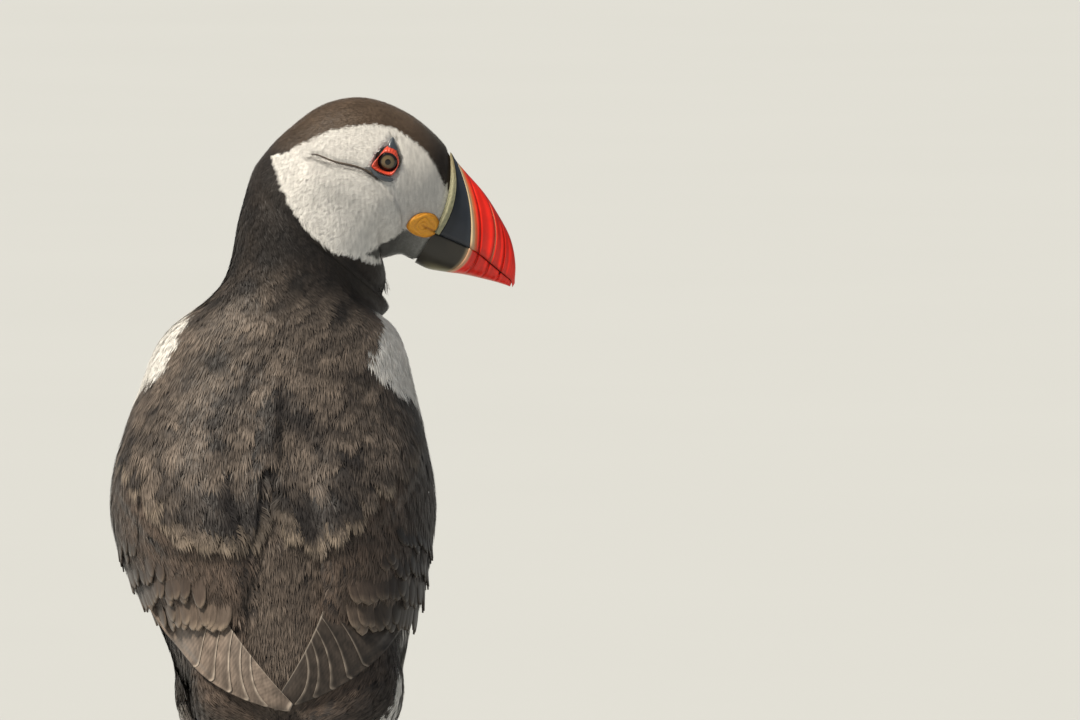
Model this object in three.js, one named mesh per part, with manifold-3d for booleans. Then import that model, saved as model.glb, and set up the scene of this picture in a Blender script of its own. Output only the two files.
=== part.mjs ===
// An Atlantic puffin, life size, standing upright with its head turned over its right shoulder.
// Millimetres, +Z up. While it is built, x runs to the bird's right, y ahead of its breast and z up from
// the ground. At the end the group is shifted so that its origin is under the middle of its bounding box.
// Every shape is a closed surface over named sizes: rings along the body, sheets laid on the back, and
// small horny pieces round the eye and the bill.
import * as THREE from "three";
import { mergeVertices } from "three/addons/utils/BufferGeometryUtils.js";
import Module from "manifold-3d";

const wasm = await Module();
wasm.setup();

// ---------------------------------------------------------------- driving dimensions
const GAP = 0.3; // free space between neighbouring pieces
const CRUMB = 0.02; // edges shorter than this are closed up after the cuts
const COLOURS = {
  black: 0x2b2522, // back, crown and collar
  brown: 0x5d4c41, // worn flight feathers
  white: 0xe9e6e0, // face, breast and belly
  red: 0xd8321f, // outer bill
  slate: 0x2a3540, // bill plates and eye plates
  cream: 0xc9bd8c, // cere
  yellow: 0xe8930c, // gape rosette
  orange: 0xe4561a, // legs and feet
  horn: 0x231d1a, // claws
  eye: 0x3a3226,
  rim: 0xc8321e, // ring of bare skin round the eye
};

// The head's own frame: the origin lies between the eyes, f runs to the bill, l to its left and u up.
const HEAD = { at: new THREE.Vector3(36.5, 8, 222), turn: 90, pitch: 20 };

// Trunk sections from the tail root to the base of the neck. Each row holds the offset to the right,
// the back's y and z, the belly's y and z, the half width and the squareness of the section.
const TRUNK = [
  [5, -53.5, 50, -49, 36, 10, 2],
  [5, -52.5, 58, -40, 31, 23, 2.1],
  [5.4, -50.5, 69, -20, 27.5, 30.5, 2.2],
  [5.5, -48, 84, 5, 30, 33.5, 2.25],
  [4, -44.5, 101, 32, 45, 39.4, 2.25],
  [0.2, -39, 119, 52, 71, 45.3, 2.2],
  [-0.5, -32, 137, 60, 104, 47.8, 2.2],
  [0.8, -23.5, 155, 56, 135, 42.8, 2.15],
  [2.4, -17, 171, 45, 158, 36.4, 2.1],
];
// Neck sections: centre x, y, z, how far the back of the neck has turned, half depth, rise of the back
// over the centre, half width. The neck twists between the trunk and the turned head.
const NECK = [
  [8.4, 11.5, 175.2, 28, 26.4, 10.2, 24.6],
  [12.5, 10, 187.2, 62, 24.5, 15, 22.6],
];
// Head sections from the top of the neck to the bill, in the head's frame: crown f and u, chin f and u,
// half width, and how far the sides bow forward of both.
const CROWN = [
  [-39.4, -21, 13.2, -42, 21.8, 0],
  [-37.2, -11, 13.1, -38.6, 21.2, 0],
  [-32.8, -1.6, 12.2, -35.7, 20.6, 0],
  [-26, 8.3, 11, -33.7, 20, 0],
  [-17, 14.4, 9.9, -32.4, 19.4, 0],
  [-7.6, 16.3, 9.2, -31.5, 18.3, 0],
  [3, 15.2, 10.8, -30.2, 16, 0],
  [12, 12, 14.6, -27.9, 12.2, 1.5],
  [17.6, 8.8, 19.2, -28.5, 8, 3.8],
];
const PEAR = { body: 0, head: 0.14 }; // how far the widest place sinks towards the belly or the throat
const NECK_SQUARE = 2.05;
const HEAD_SQUARE = 2.1;
const HEAD_NECK_CUT = TRUNK.length + NECK.length + 0.2; // place along the body, in sections
const NECK_TRUNK_CUT = TRUNK.length - 0.7;
const BODY_SIDES = 24;
const RINGS_PER_SECTION = 2;

// Bill, in the head's frame. The upper mandible's rows hold the culmen's f and u, the cutting edge's f
// and u, how far the line between them bows forward, and the half width. Row 0 is the feather line,
// row 1 the front of the cere, row 2 the pale ridge, rows 3 to 5 the three grooves.
const UPPER = [
  [18.1, 8.4, 22.1, -17.1, 2.1, 7.9],
  [18.9, 8, 23.8, -17.3, 3.2, 7.7],
  [21.2, 6.2, 34.5, -18.1, 2, 6.7],
  [25.3, 3.9, 37.6, -18.7, 2.2, 5.8],
  [32.6, -0.1, 42.1, -20.3, 2.7, 4.6],
  [38.9, -4.8, 46.3, -21.9, 1.8, 3.5],
  [45.4, -10.7, 48.9, -22.9, 1.2, 2.6],
  [49.6, -17.4, 50.5, -23.7, 0.6, 1.8],
  [51.9, -24, 51.6, -25.5, 0, 0.8],
];
// The lower mandible's rows hold the cutting edge's f and u, the keel's f and u, the bow and the half width.
const LOWER = [
  [22.2, -17.7, 19.8, -28.8, 0.1, 7.5],
  [25, -17.9, 24.2, -29.2, 0.4, 7.4],
  [34.2, -18.5, 30, -28.2, 1.4, 6.5],
  [37.5, -19.3, 35.5, -27, 0.9, 5.5],
  [41.9, -21, 40.8, -26.3, 0.5, 4.3],
  [46.1, -22.6, 45.4, -25.8, 0.3, 3.2],
  [49.3, -23.9, 49, -25.6, 0, 2],
  [50.9, -25, 50.8, -25.6, 0, 1],
];
const CERE_EXTRA = 0.9; // how far the cere stands out of the bill's sides
const BILL_RIDGE = 2; // the row where the slate plates meet the red horn
const GROOVES = [3, 4, 5];
const GROOVE_DEPTH = 0.35;

// Eye and its ornaments, in the head's frame, for the left eye; the right one is the mirror image.
const EYE = { f: 0, u: -0.1, l: 13, radius: 4.4 };
const EYE_RIM = { f: -0.4, u: -0.1, l: 17, wide: 3.9, high: 4.3, tube: 0.7, lean: 14 };
const EYE_SOCKET = 1.6; // depth of the opening that the head leaves inside the rim
const UPPER_PLATE = { f: -0.9, u: 6, l: 15.6, long: 1.6, high: 2.6, thick: 1.9 };
const LOWER_PLATE = { f: 0.4, u: -5.4, l: 16.4, long: 4.3, high: 1.2, thick: 1.3, lean: -8 };
const ROSETTE = { f: 16.3, u: -15.2, l: 9.7, long: 4.9, high: 3.8, thick: 2.3 };

// Folded wings. The arm is a shell on the trunk's side: its place along the body from the shoulder to
// the lower end, and the angle round the body of its inner and outer edges, measured from the spine.
const ARM = {
  from: 6.95,
  to: [2.9, 4.3], // the inner and the outer corner of the lower end
  inner: 15,
  outer: [118, 92], // at the shoulder and at the lower end
  thick: 4.2,
  edge: 0.7,
};
const ARM_CLEAR = 1.6; // from the trunk's smooth surface to the arm
const ARM_GROWTH = 0.03; // share of the arm's width that a millimetre of growth adds at each edge
// The hand feathers form a blade over the rump, given by its outer and inner edges as seen from
// behind, each a start, a middle control point and an end, in x and z.
const HAND = {
  left: {
    outer: [[-40, 80], [-25, 55], [6, 50]],
    inner: [[-20, 86], [-8, 68], [7, 52.5]],
    lift: 2.9,
  },
  right: {
    outer: [[46, 80], [31, 57], [1, 50]],
    inner: [[18, 86], [13, 70], [1.5, 53.5]],
    lift: 0.5,
  },
};
const HAND_BLADE = { thick: 1.5, slim: 0.45, clear: 0.6, feathers: 5, step: 0.35 };

// Tail fan: root, length, slope below the horizontal, width and thickness at both ends, arch across.
const TAIL = {
  at: new THREE.Vector3(5, -48.5, 51),
  long: 43,
  slope: 62,
  root: 27,
  end: 37,
  arch: 5,
  thick: [4, 1],
  columns: 12,
};

// Legs. All sizes are for one leg, and side is -1 on the left and 1 on the right.
const LEG = { middle: 2.8, apart: 19.5, ankle: [0, -10, 27], toes: [1, 0, 4.6], splay: 9 };
// The thigh and the shank are round limbs: shares of the way down, and a radius at each.
const THIGH = {
  top: [-1, 9, 56],
  stations: [0, 0.22, 0.45, 0.68, 0.88, 1],
  radii: [15, 16, 14.5, 11.5, 8, 4.6],
};
const SHANK = {
  clear: 0.4, // from the ankle
  stations: [0, 0.25, 0.6, 0.9, 1],
  radii: [2.875, 2.415, 2.3, 2.645, 2.99],
};
const TOES = [
  { angle: -26, long: 31 }, // inner
  { angle: 0, long: 39 }, // middle
  { angle: 24, long: 38 }, // outer
];
const FOOT = {
  heel: 5, // behind the joint
  pad: 6, // how far the narrow pad under the joint reaches ahead
  padHalf: 3.4,
  margin: 3.5, // degrees of web outside the outermost toes
  web: 1.3,
  toeHigh: 3.6,
  toeTaper: 0.35,
  toeWide: 2.1,
  scallop: 0.16,
};
const CLAW = { long: 6.2, radius: 1.35, tip: 0.3, high: 2.1, drop: 1.9 };

// ---------------------------------------------------------------- curves and surfaces
const rad = THREE.MathUtils.degToRad;
const mix = THREE.MathUtils.lerp;
const point = (x, y, z) => new THREE.Vector3(x, y, z);

// The row at place t, from 0 to rows.length - 1, on a uniform Catmull-Rom curve through rows of numbers.
function along(rows, t) {
  const last = rows.length - 1;
  const i = Math.max(0, Math.min(Math.floor(t), last - 1));
  const s = t - i;
  const row = (k) => rows[Math.max(0, Math.min(last, k))];
  const [a, b, c, d] = [row(i - 1), row(i), row(i + 1), row(i + 2)];
  return b.map((value, k) => {
    const second = 2 * a[k] - 5 * value + 4 * c[k] - d[k];
    const third = 3 * value - a[k] - 3 * c[k] + d[k];
    return value + 0.5 * ((c[k] - a[k]) * s + second * s * s + third * s ** 3);
  });
}

// A quadratic curve through three pairs of numbers, the middle one being its control point.
function bend([start, middle, end], t) {
  const blend = (k) => mix(mix(start[k], middle[k], t), mix(middle[k], end[k], t), t);
  return [blend(0), blend(1)];
}

function geometryOf(points, index) {
  const flat = points.flatMap((p) => [p.x, p.y, p.z]);
  const geometry = new THREE.BufferGeometry();
  geometry.setAttribute("position", new THREE.Float32BufferAttribute(flat, 3));
  geometry.setIndex(index);
  return geometry;
}

// A closed body over rings of equally many points, with a fan to the middle of both end rings.
function loft(rings) {
  const sides = rings[0].length;
  const points = rings.flat();
  const index = [];
  for (let i = 0; i + 1 < rings.length; i++)
    for (let j = 0; j < sides; j++) {
      const a = i * sides + j;
      const b = i * sides + ((j + 1) % sides);
      index.push(a, b, b + sides, a, b + sides, a + sides);
    }
  for (const end of [0, rings.length - 1]) {
    const middle = points.length;
    const sum = rings[end].reduce((s, p) => s.add(p), point(0, 0, 0));
    points.push(sum.divideScalar(sides));
    for (let j = 0; j < sides; j++) {
      const pair = [end * sides + j, end * sides + ((j + 1) % sides)];
      if (end === 0) pair.reverse();
      index.push(...pair, middle);
    }
  }
  return geometryOf(points, index);
}

// A closed slab between two sheets, outer(s, t) and inner(s, t), with s and t from 0 to 1.
function slab(columns, rows, outer, inner) {
  const points = [];
  const index = [];
  const at = (side, i, j) => (side * (rows + 1) + j) * (columns + 1) + i;
  for (const sheet of [outer, inner])
    for (let j = 0; j <= rows; j++)
      for (let i = 0; i <= columns; i++) points.push(sheet(i / columns, j / rows));
  const quad = (a, b, c, d) => index.push(a, b, c, a, c, d);
  for (let j = 0; j < rows; j++)
    for (let i = 0; i < columns; i++) {
      quad(at(0, i, j), at(0, i + 1, j), at(0, i + 1, j + 1), at(0, i, j + 1));
      quad(at(1, i, j), at(1, i, j + 1), at(1, i + 1, j + 1), at(1, i + 1, j));
    }
  for (let i = 0; i < columns; i++) {
    quad(at(0, i + 1, 0), at(0, i, 0), at(1, i, 0), at(1, i + 1, 0));
    quad(at(0, i, rows), at(0, i + 1, rows), at(1, i + 1, rows), at(1, i, rows));
  }
  for (let j = 0; j < rows; j++) {
    quad(at(0, 0, j), at(0, 0, j + 1), at(1, 0, j + 1), at(1, 0, j));
    quad(at(0, columns, j + 1), at(0, columns, j), at(1, columns, j), at(1, columns, j + 1));
  }
  return geometryOf(points, index);
}

// A closed geometry as a manifold-3d solid with its faces pointing out.
function solid(geometry) {
  const bare = geometry.clone();
  bare.deleteAttribute("normal");
  bare.deleteAttribute("uv");
  const merged = mergeVertices(bare, 1e-4);
  const build = (triVerts) =>
    new wasm.Manifold(
      new wasm.Mesh({
        numProp: 3,
        vertProperties: merged.attributes.position.array,
        triVerts: new Uint32Array(triVerts),
      }),
    );
  const made = build(merged.index.array);
  return made.volume() < 0 ? build([...merged.index.array].reverse()) : made;
}

function geometryOfSolid(made) {
  const mesh = made.getMesh();
  const position = [];
  for (let i = 0; i < mesh.numVert; i++) {
    const start = i * mesh.numProp;
    position.push(...mesh.vertProperties.subarray(start, start + 3));
  }
  const geometry = new THREE.BufferGeometry();
  geometry.setAttribute("position", new THREE.Float32BufferAttribute(position, 3));
  geometry.setIndex([...mesh.triVerts]);
  return geometry;
}

// The larger body of a cut solid, without the crumbs that a cut may leave.
function largest(made) {
  return made.decompose().reduce((a, b) => (a.volume() > b.volume() ? a : b));
}

// ---------------------------------------------------------------- whole body as one surface
const headAxes = (() => {
  const away = rad(90 - HEAD.turn);
  const pitch = rad(HEAD.pitch);
  const level = point(Math.cos(away), Math.sin(away), 0);
  const f = level.clone().multiplyScalar(Math.cos(pitch)).add(point(0, 0, -Math.sin(pitch)));
  const u = level.clone().multiplyScalar(Math.sin(pitch)).add(point(0, 0, Math.cos(pitch)));
  return { f, l: u.clone().cross(f), u };
})();

function headPoint(f, l, u) {
  return HEAD.at
    .clone()
    .addScaledVector(headAxes.f, f)
    .addScaledVector(headAxes.l, l)
    .addScaledVector(headAxes.u, u);
}

// Every section as its back's x, y, z, its belly's x, y, z, the x, y, z of the half width to the
// bird's right, its squareness, its pear shape and the bow of its sides towards the bill.
const sections = [
  ...TRUNK.map(([x, by, bz, fy, fz, half, square]) => [
    ...[x, by, bz, x, fy, fz],
    ...[half, 0, 0, square, PEAR.body, 0],
  ]),
  ...NECK.map(([x, y, z, turned, deep, rise, half]) => {
    const [s, c] = [Math.sin(rad(turned)), Math.cos(rad(turned))];
    return [
      ...[x - deep * s, y - deep * c, z + rise, x + deep * s, y + deep * c, z - rise],
      ...[half * c, -half * s, 0, NECK_SQUARE, PEAR.body, 0],
    ];
  }),
  ...CROWN.map(([cf, cu, bf, bu, half, bow]) => [
    ...headPoint(cf, 0, cu).toArray(),
    ...headPoint(bf, 0, bu).toArray(),
    ...headAxes.l.clone().multiplyScalar(-half).toArray(),
    ...[HEAD_SQUARE, PEAR.head, bow],
  ]),
];

// The body's surface at a place along it, in sections, and an angle round it in degrees from the
// spine towards the bird's right, lifted off the surface by lift.
function bodyPoint(place, angle, lift = 0) {
  const at = (t, a) => {
    const row = along(sections, t);
    const back = point(row[0], row[1], row[2]);
    const belly = point(row[3], row[4], row[5]);
    const power = 2 / row[9];
    const [c, s] = [Math.cos(rad(a)), Math.sin(rad(a))];
    const up = back.clone().sub(belly).multiplyScalar(0.5);
    const right = point(row[6], row[7], row[8]).multiplyScalar(1 - row[10] * c);
    return back
      .add(belly)
      .multiplyScalar(0.5)
      .addScaledVector(up, Math.sign(c) * Math.abs(c) ** power)
      .addScaledVector(right, Math.sign(s) * Math.abs(s) ** power)
      .addScaledVector(headAxes.f, row[11] * s * s);
  };
  const here = at(place, angle);
  if (lift === 0) return here;
  const round = at(place, angle + 2).sub(at(place, angle - 2));
  const ahead = at(place + 0.05, angle).sub(at(place - 0.05, angle));
  return here.addScaledVector(round.cross(ahead).normalize(), lift);
}

function bodyRings(from, to, count, lift = 0) {
  return Array.from({ length: count + 1 }, (_, i) =>
    Array.from({ length: BODY_SIDES }, (_, j) =>
      bodyPoint(mix(from, to, i / count), (360 * j) / BODY_SIDES, lift),
    ),
  );
}

const lastSection = sections.length - 1;
const wholeBody = solid(loft(bodyRings(0, lastSection, lastSection * RINGS_PER_SECTION)));

// The plane of the section at a place, as a normal towards the head and its distance from the origin.
function planeAt(place) {
  const [back, right, belly] = [0, 90, 180].map((angle) => bodyPoint(place, angle));
  const normal = right.sub(back).cross(belly.sub(back)).normalize();
  return { normal, offset: normal.dot(back) };
}

function partedBetween(made, lower, upper) {
  let kept = made;
  if (lower) kept = kept.trimByPlane(lower.normal.toArray(), lower.offset + GAP / 2);
  if (upper) {
    const down = upper.normal.clone().negate();
    kept = kept.trimByPlane(down.toArray(), GAP / 2 - upper.offset);
  }
  return largest(kept);
}

const throatPlane = planeAt(HEAD_NECK_CUT);
const collarPlane = planeAt(NECK_TRUNK_CUT);
const trunk = partedBetween(wholeBody, null, collarPlane);
const neck = partedBetween(wholeBody, collarPlane, throatPlane);
let head = partedBetween(wholeBody, throatPlane, null);

// ---------------------------------------------------------------- bill
// One section of a mandible: a loop up one side, over the culmen or keel, and down the other.
function billRing(rows, place, extra) {
  const [rf, ru, ef, eu, bow, half] = along(rows, place);
  const steps = 5;
  const across = Math.hypot(ef - rf, eu - ru);
  const ahead = [(ru - eu) / across, (ef - rf) / across]; // in f and u, before its sign is set
  const sign = ahead[0] < 0 ? -1 : 1;
  const nearGroove = GROOVES.map((g) => Math.exp(-(((place - g) / 0.12) ** 2)));
  const groove = GROOVE_DEPTH * nearGroove.reduce((a, b) => a + b, 0);
  const side = (sense) =>
    Array.from({ length: steps + 1 }, (_, i) => {
      const h = i / steps; // 0 on the cutting edge, 1 on the ridge or keel
      const swell = 4 * h * (1 - h) * bow * sign;
      const wide = Math.max(0, half + extra - groove) * (1 - h ** 2.4) ** 0.62 + 0.25;
      return headPoint(
        mix(ef, rf, h) + ahead[0] * swell,
        sense * wide,
        mix(eu, ru, h) + ahead[1] * swell,
      );
    });
  return [...side(-1), ...side(1).reverse()];
}

function billPiece(rows, from, to, extra = 0) {
  const places = [from, to];
  for (let t = 0; t < to; t += 0.5) places.push(t);
  for (const groove of GROOVES) places.push(groove - 0.2, groove + 0.2);
  const kept = places.filter((t) => t >= from && t <= to).sort((a, b) => a - b);
  return solid(loft([...new Set(kept)].map((t) => billRing(rows, t, extra))));
}

// The lower mandible's rows start with its cutting edge, so they are turned to start with its keel.
const keelFirst = LOWER.map(([ef, eu, kf, ku, bow, half]) => [kf, ku, ef, eu, bow, half]);
const BILL_GAP = 0.06; // in rows of the bill, about 0.3 mm
const billPieces = {
  cere: billPiece(UPPER, 0.25, 1, CERE_EXTRA),
  bill_upper_plate: billPiece(UPPER, 1 + BILL_GAP, BILL_RIDGE),
  bill_upper_horn: billPiece(UPPER, BILL_RIDGE + BILL_GAP, UPPER.length - 1),
  bill_lower_plate: billPiece(keelFirst, 0.05, BILL_RIDGE),
  bill_lower_horn: billPiece(keelFirst, BILL_RIDGE + BILL_GAP, LOWER.length - 1),
};

// ---------------------------------------------------------------- eye and gape
// An egg-shaped piece of the head, sense being 1 for the left side and -1 for the right.
function headBlob({ f, u, l, long, high, thick, lean = 0 }, sense, grow = 0, detail = [10, 6]) {
  const geometry = new THREE.SphereGeometry(1, ...detail);
  const [c, s] = [Math.cos(rad(lean)), Math.sin(rad(lean))];
  const p = geometry.attributes.position;
  for (let i = 0; i < p.count; i++) {
    const [a, b] = [p.getX(i) * (long + grow), p.getZ(i) * (high + grow)];
    const out = p.getY(i) * (thick + grow);
    const placed = headPoint(f + a * c - b * s, sense * (l + out), u + a * s + b * c);
    p.setXYZ(i, placed.x, placed.y, placed.z);
  }
  return solid(geometry);
}

function eyeBall(sense, grow = 0) {
  const { radius, ...place } = EYE;
  return headBlob({ ...place, long: radius, high: radius, thick: radius }, sense, grow, [12, 8]);
}

// The ring of bare skin: a torus stretched to an oval that leans with the eye's opening.
function eyeRim(sense, grow = 0) {
  const geometry = new THREE.TorusGeometry(2, 1, 6, 16);
  const p = geometry.attributes.position;
  const [c, s] = [Math.cos(rad(EYE_RIM.lean)), Math.sin(rad(EYE_RIM.lean))];
  const tube = EYE_RIM.tube + grow;
  for (let i = 0; i < p.count; i++) {
    const round = Math.atan2(p.getY(i), p.getX(i));
    const out = Math.hypot(p.getX(i), p.getY(i)) - 2; // -1 to 1 across the tube
    const [a, b] = [
      Math.cos(round) * (EYE_RIM.wide + out * tube),
      Math.sin(round) * (EYE_RIM.high + out * tube),
    ];
    const placed = headPoint(
      EYE_RIM.f + a * c - b * s,
      sense * (EYE_RIM.l + p.getZ(i) * tube),
      EYE_RIM.u + a * s + b * c,
    );
    p.setXYZ(i, placed.x, placed.y, placed.z);
  }
  return solid(geometry);
}

const facePieces = {};
for (const [name, sense] of [["left", 1], ["right", -1]]) {
  const eye = eyeBall(sense);
  const rimRoom = eyeRim(sense, GAP);
  const upperPlate = headBlob(UPPER_PLATE, sense).subtract(rimRoom);
  const lowerPlate = headBlob(LOWER_PLATE, sense).subtract(rimRoom);
  const rosette = headBlob(ROSETTE, sense);
  facePieces["eye_" + name] = eye;
  facePieces["eye_rim_" + name] = eyeRim(sense);
  facePieces["eye_plate_upper_" + name] = largest(upperPlate.subtract(eyeBall(sense, GAP)));
  facePieces["eye_plate_lower_" + name] = largest(lowerPlate.subtract(eyeBall(sense, GAP)));
  facePieces["gape_rosette_" + name] = rosette;
  const rosetteRoom = headBlob(ROSETTE, sense, GAP);
  for (const key of ["cere", "bill_upper_plate", "bill_lower_plate"])
    billPieces[key] = largest(billPieces[key].subtract(rosetteRoom));
  const { f, u, l, wide, high, lean } = EYE_RIM;
  const rooms = [
    headBlob({ f, u, l, long: wide, high, thick: EYE_SOCKET, lean }, sense),
    eyeBall(sense, GAP),
    rimRoom,
    headBlob(UPPER_PLATE, sense, GAP),
    headBlob(LOWER_PLATE, sense, GAP),
    rosetteRoom,
  ];
  for (const room of rooms) head = head.subtract(room);
}
head = largest(head);

// ---------------------------------------------------------------- wings
// A place on the folded arm: p from the shoulder to the lower end, q from the inner to the outer edge.
function armPlace(p, q) {
  const end = Math.max(-1, Math.min(1, 2 * p - 1)); // -1 on the shoulder, 1 on the lower end
  const narrow = end < 0 ? (1 - Math.abs(end) ** 3) ** 0.5 : 1 - 0.2 * end ** 4;
  const outer = mix(...ARM.outer, p ** 1.5);
  const middle = (ARM.inner + outer) / 2;
  const half = ((outer - ARM.inner) / 2) * Math.max(narrow, 0.12);
  return [mix(ARM.from, mix(...ARM.to, q), p), middle + half * (2 * q - 1)];
}

function arm(sense, grow = 0) {
  const beyond = (share) => share + (2 * share - 1) * grow * ARM_GROWTH;
  const sheet = (outer) => (q, p) => {
    const [place, angle] = armPlace(p, beyond(q));
    const bulge = (1 - (2 * q - 1) ** 4) * (1 - (2 * p - 1) ** 4);
    const deep = ARM.edge + (ARM.thick - ARM.edge) * bulge + grow;
    const lift = outer ? ARM_CLEAR + deep : ARM_CLEAR - grow;
    return bodyPoint(place, sense * angle, lift);
  };
  return solid(slab(8, 10, sheet(true), sheet(false)));
}

const seeker = new THREE.Raycaster();
const trunkTarget = new THREE.Mesh(
  geometryOfSolid(trunk),
  new THREE.MeshBasicMaterial({ side: THREE.DoubleSide }),
);

// The y of the trunk's back behind a place in x and z, or the given y where the trunk isn't there.
function backAt(x, z, otherwise) {
  seeker.set(point(x, -200, z), point(0, 1, 0));
  const found = seeker.intersectObject(trunkTarget)[0];
  return found ? found.point.y : otherwise;
}

// The hand feathers: a blade over the rump whose trailing edge is stepped once for each feather.
function hand({ outer, inner, lift }) {
  const sheet = (raised) => (b, a) => {
    const [ox, oz] = bend(outer, a);
    const [ix, iz] = bend(inner, a);
    const [x, z] = [mix(ox, ix, b), mix(oz, iz, b)];
    const ground = Math.min(backAt(x, z, -20), -20);
    const stepped = HAND_BLADE.step * ((b * HAND_BLADE.feathers) % 1);
    const slim = 1 - HAND_BLADE.slim * Math.abs(2 * b - 1) ** 3;
    const deep = HAND_BLADE.thick * slim + stepped;
    const y = ground - HAND_BLADE.clear - lift * a - (raised ? deep : 0);
    return point(x, y, z);
  };
  return solid(slab(10, 8, sheet(true), sheet(false)));
}

// ---------------------------------------------------------------- tail
const tailSolid = (() => {
  const slope = rad(TAIL.slope);
  const down = point(0, -Math.cos(slope), -Math.sin(slope));
  const out = point(0, -Math.sin(slope), Math.cos(slope)); // away from the tail's upper side
  const sheet = (raised) => (b, a) => {
    const side = 2 * b - 1;
    const wide = mix(TAIL.root, TAIL.end, a ** 0.8) / 2;
    const long = TAIL.long * a * (1 - 0.12 * side * side);
    const thick = mix(TAIL.thick[0], TAIL.thick[1], a);
    return TAIL.at
      .clone()
      .addScaledVector(down, long)
      .addScaledVector(out, -TAIL.arch * side * side + (raised ? thick / 2 : -thick / 2))
      .add(point(wide * side, 0, 0));
  };
  return solid(slab(TAIL.columns, 4, sheet(true), sheet(false)));
})();

// ---------------------------------------------------------------- legs
// A limb with round sections along a line between points, a radius at each.
function limb(points, radii, sides) {
  const rings = points.map((p, i) => {
    const before = points[Math.max(0, i - 1)];
    const after = points[Math.min(points.length - 1, i + 1)];
    const way = after.clone().sub(before).normalize();
    const across = point(1, 0, 0).addScaledVector(way, -way.x).normalize();
    const third = way.clone().cross(across);
    return Array.from({ length: sides }, (_, j) => {
      const angle = (2 * Math.PI * j) / sides;
      return p
        .clone()
        .addScaledVector(across, radii[i] * Math.cos(angle))
        .addScaledVector(third, radii[i] * Math.sin(angle));
    });
  });
  return solid(loft(rings));
}

function legPoint(side, [x, y, z]) {
  return point(LEG.middle + side * (LEG.apart + x), y, z);
}

// The foot's own polar frame: the toes' joint is its centre and angle 0 runs along the middle toe.
function footPoint(side, angle, reach, z) {
  const way = rad(side * (angle + LEG.splay));
  const joint = legPoint(side, LEG.toes);
  return point(joint.x + reach * Math.sin(way), joint.y + reach * Math.cos(way), z);
}

function footSolid(side) {
  const [inner, outer] = [TOES[0].angle - FOOT.margin, TOES[2].angle + FOOT.margin];
  const reachAt = (angle) => {
    const k = angle < 0 ? 0 : 1;
    const [a, b] = [TOES[k], TOES[k + 1]];
    const share = Math.max(0, Math.min(1, (angle - a.angle) / (b.angle - a.angle)));
    return mix(a.long, b.long, share) * (1 - FOOT.scallop * Math.sin(Math.PI * share));
  };
  const sheet = (raised) => (s, t) => {
    const angle = mix(inner, outer, s);
    const reach = mix(-FOOT.heel, reachAt(angle), t);
    const spread = reach < 0 ? 0 : angle;
    const middle = footPoint(side, spread, reach, 0);
    if (reach < FOOT.pad) {
      // Behind the webs the foot is a narrow pad as wide as the joint.
      const across = rad(side * LEG.splay);
      const offset = (2 * s - 1) * FOOT.padHalf * (1 - Math.max(0, reach) / FOOT.pad);
      middle.x += side * offset * Math.cos(across);
      middle.y -= side * offset * Math.sin(across);
    }
    if (!raised) return middle;
    const ridge = TOES.map((toe) => {
      const away = rad(angle - toe.angle) * Math.max(reach, 0);
      const high = FOOT.toeHigh * (1 - FOOT.toeTaper * t);
      return high * Math.exp(-((away / FOOT.toeWide) ** 2));
    });
    middle.z = Math.max(FOOT.web, ...ridge);
    return middle;
  };
  return solid(slab(16, 5, sheet(true), sheet(false)));
}

function clawSolid(side, toe, reachFrom) {
  const rings = 3;
  const points = [];
  const radii = [];
  for (let i = 0; i <= rings; i++) {
    const t = i / rings;
    const place = footPoint(side, toe.angle, reachFrom + CLAW.long * t, 0);
    radii.push(CLAW.radius * (1 - t) + CLAW.tip);
    place.z = Math.max(radii[i], CLAW.high - CLAW.drop * t * t);
    points.push(place);
  }
  return limb(points, radii, 6);
}

const legPieces = {};
const shell = solid(loft(bodyRings(0, TRUNK.length - 1, 2 * TRUNK.length - 2, GAP)));
for (const [name, side] of [["left", -1], ["right", 1]]) {
  const ankle = legPoint(side, LEG.ankle);
  const top = legPoint(side, THIGH.top);
  const thighPoints = THIGH.stations.map((t) => top.clone().lerp(ankle, t));
  const thigh = limb(thighPoints, THIGH.radii, 14);
  legPieces["thigh_" + name] = largest(thigh.subtract(shell));

  const joint = legPoint(side, LEG.toes);
  const down = joint.clone().sub(ankle).normalize();
  const start = ankle.clone().addScaledVector(down, SHANK.clear);
  const shankPoints = SHANK.stations.map((t) => start.clone().lerp(joint, t));
  const foot = footSolid(side);
  const footRoom = foot.translate([0, 0, GAP]);
  const shank = limb(shankPoints, SHANK.radii, 8).subtract(foot).subtract(footRoom);
  legPieces["shank_" + name] = largest(shank.subtract(thigh));
  legPieces["foot_" + name] = foot;
  ["inner", "middle", "outer"].forEach((toeName, k) => {
    const claw = clawSolid(side, TOES[k], TOES[k].long + GAP);
    legPieces["claw_" + toeName + "_" + name] = claw;
  });
}

// ---------------------------------------------------------------- the bird
const bird = new THREE.Group();

function show(name, made, colour, roughness) {
  const material = new THREE.MeshStandardMaterial({
    color: COLOURS[colour],
    roughness,
    metalness: 0,
  });
  const mesh = new THREE.Mesh(geometryOfSolid(made.simplify(CRUMB)), material);
  mesh.name = name;
  bird.add(mesh);
}

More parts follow.
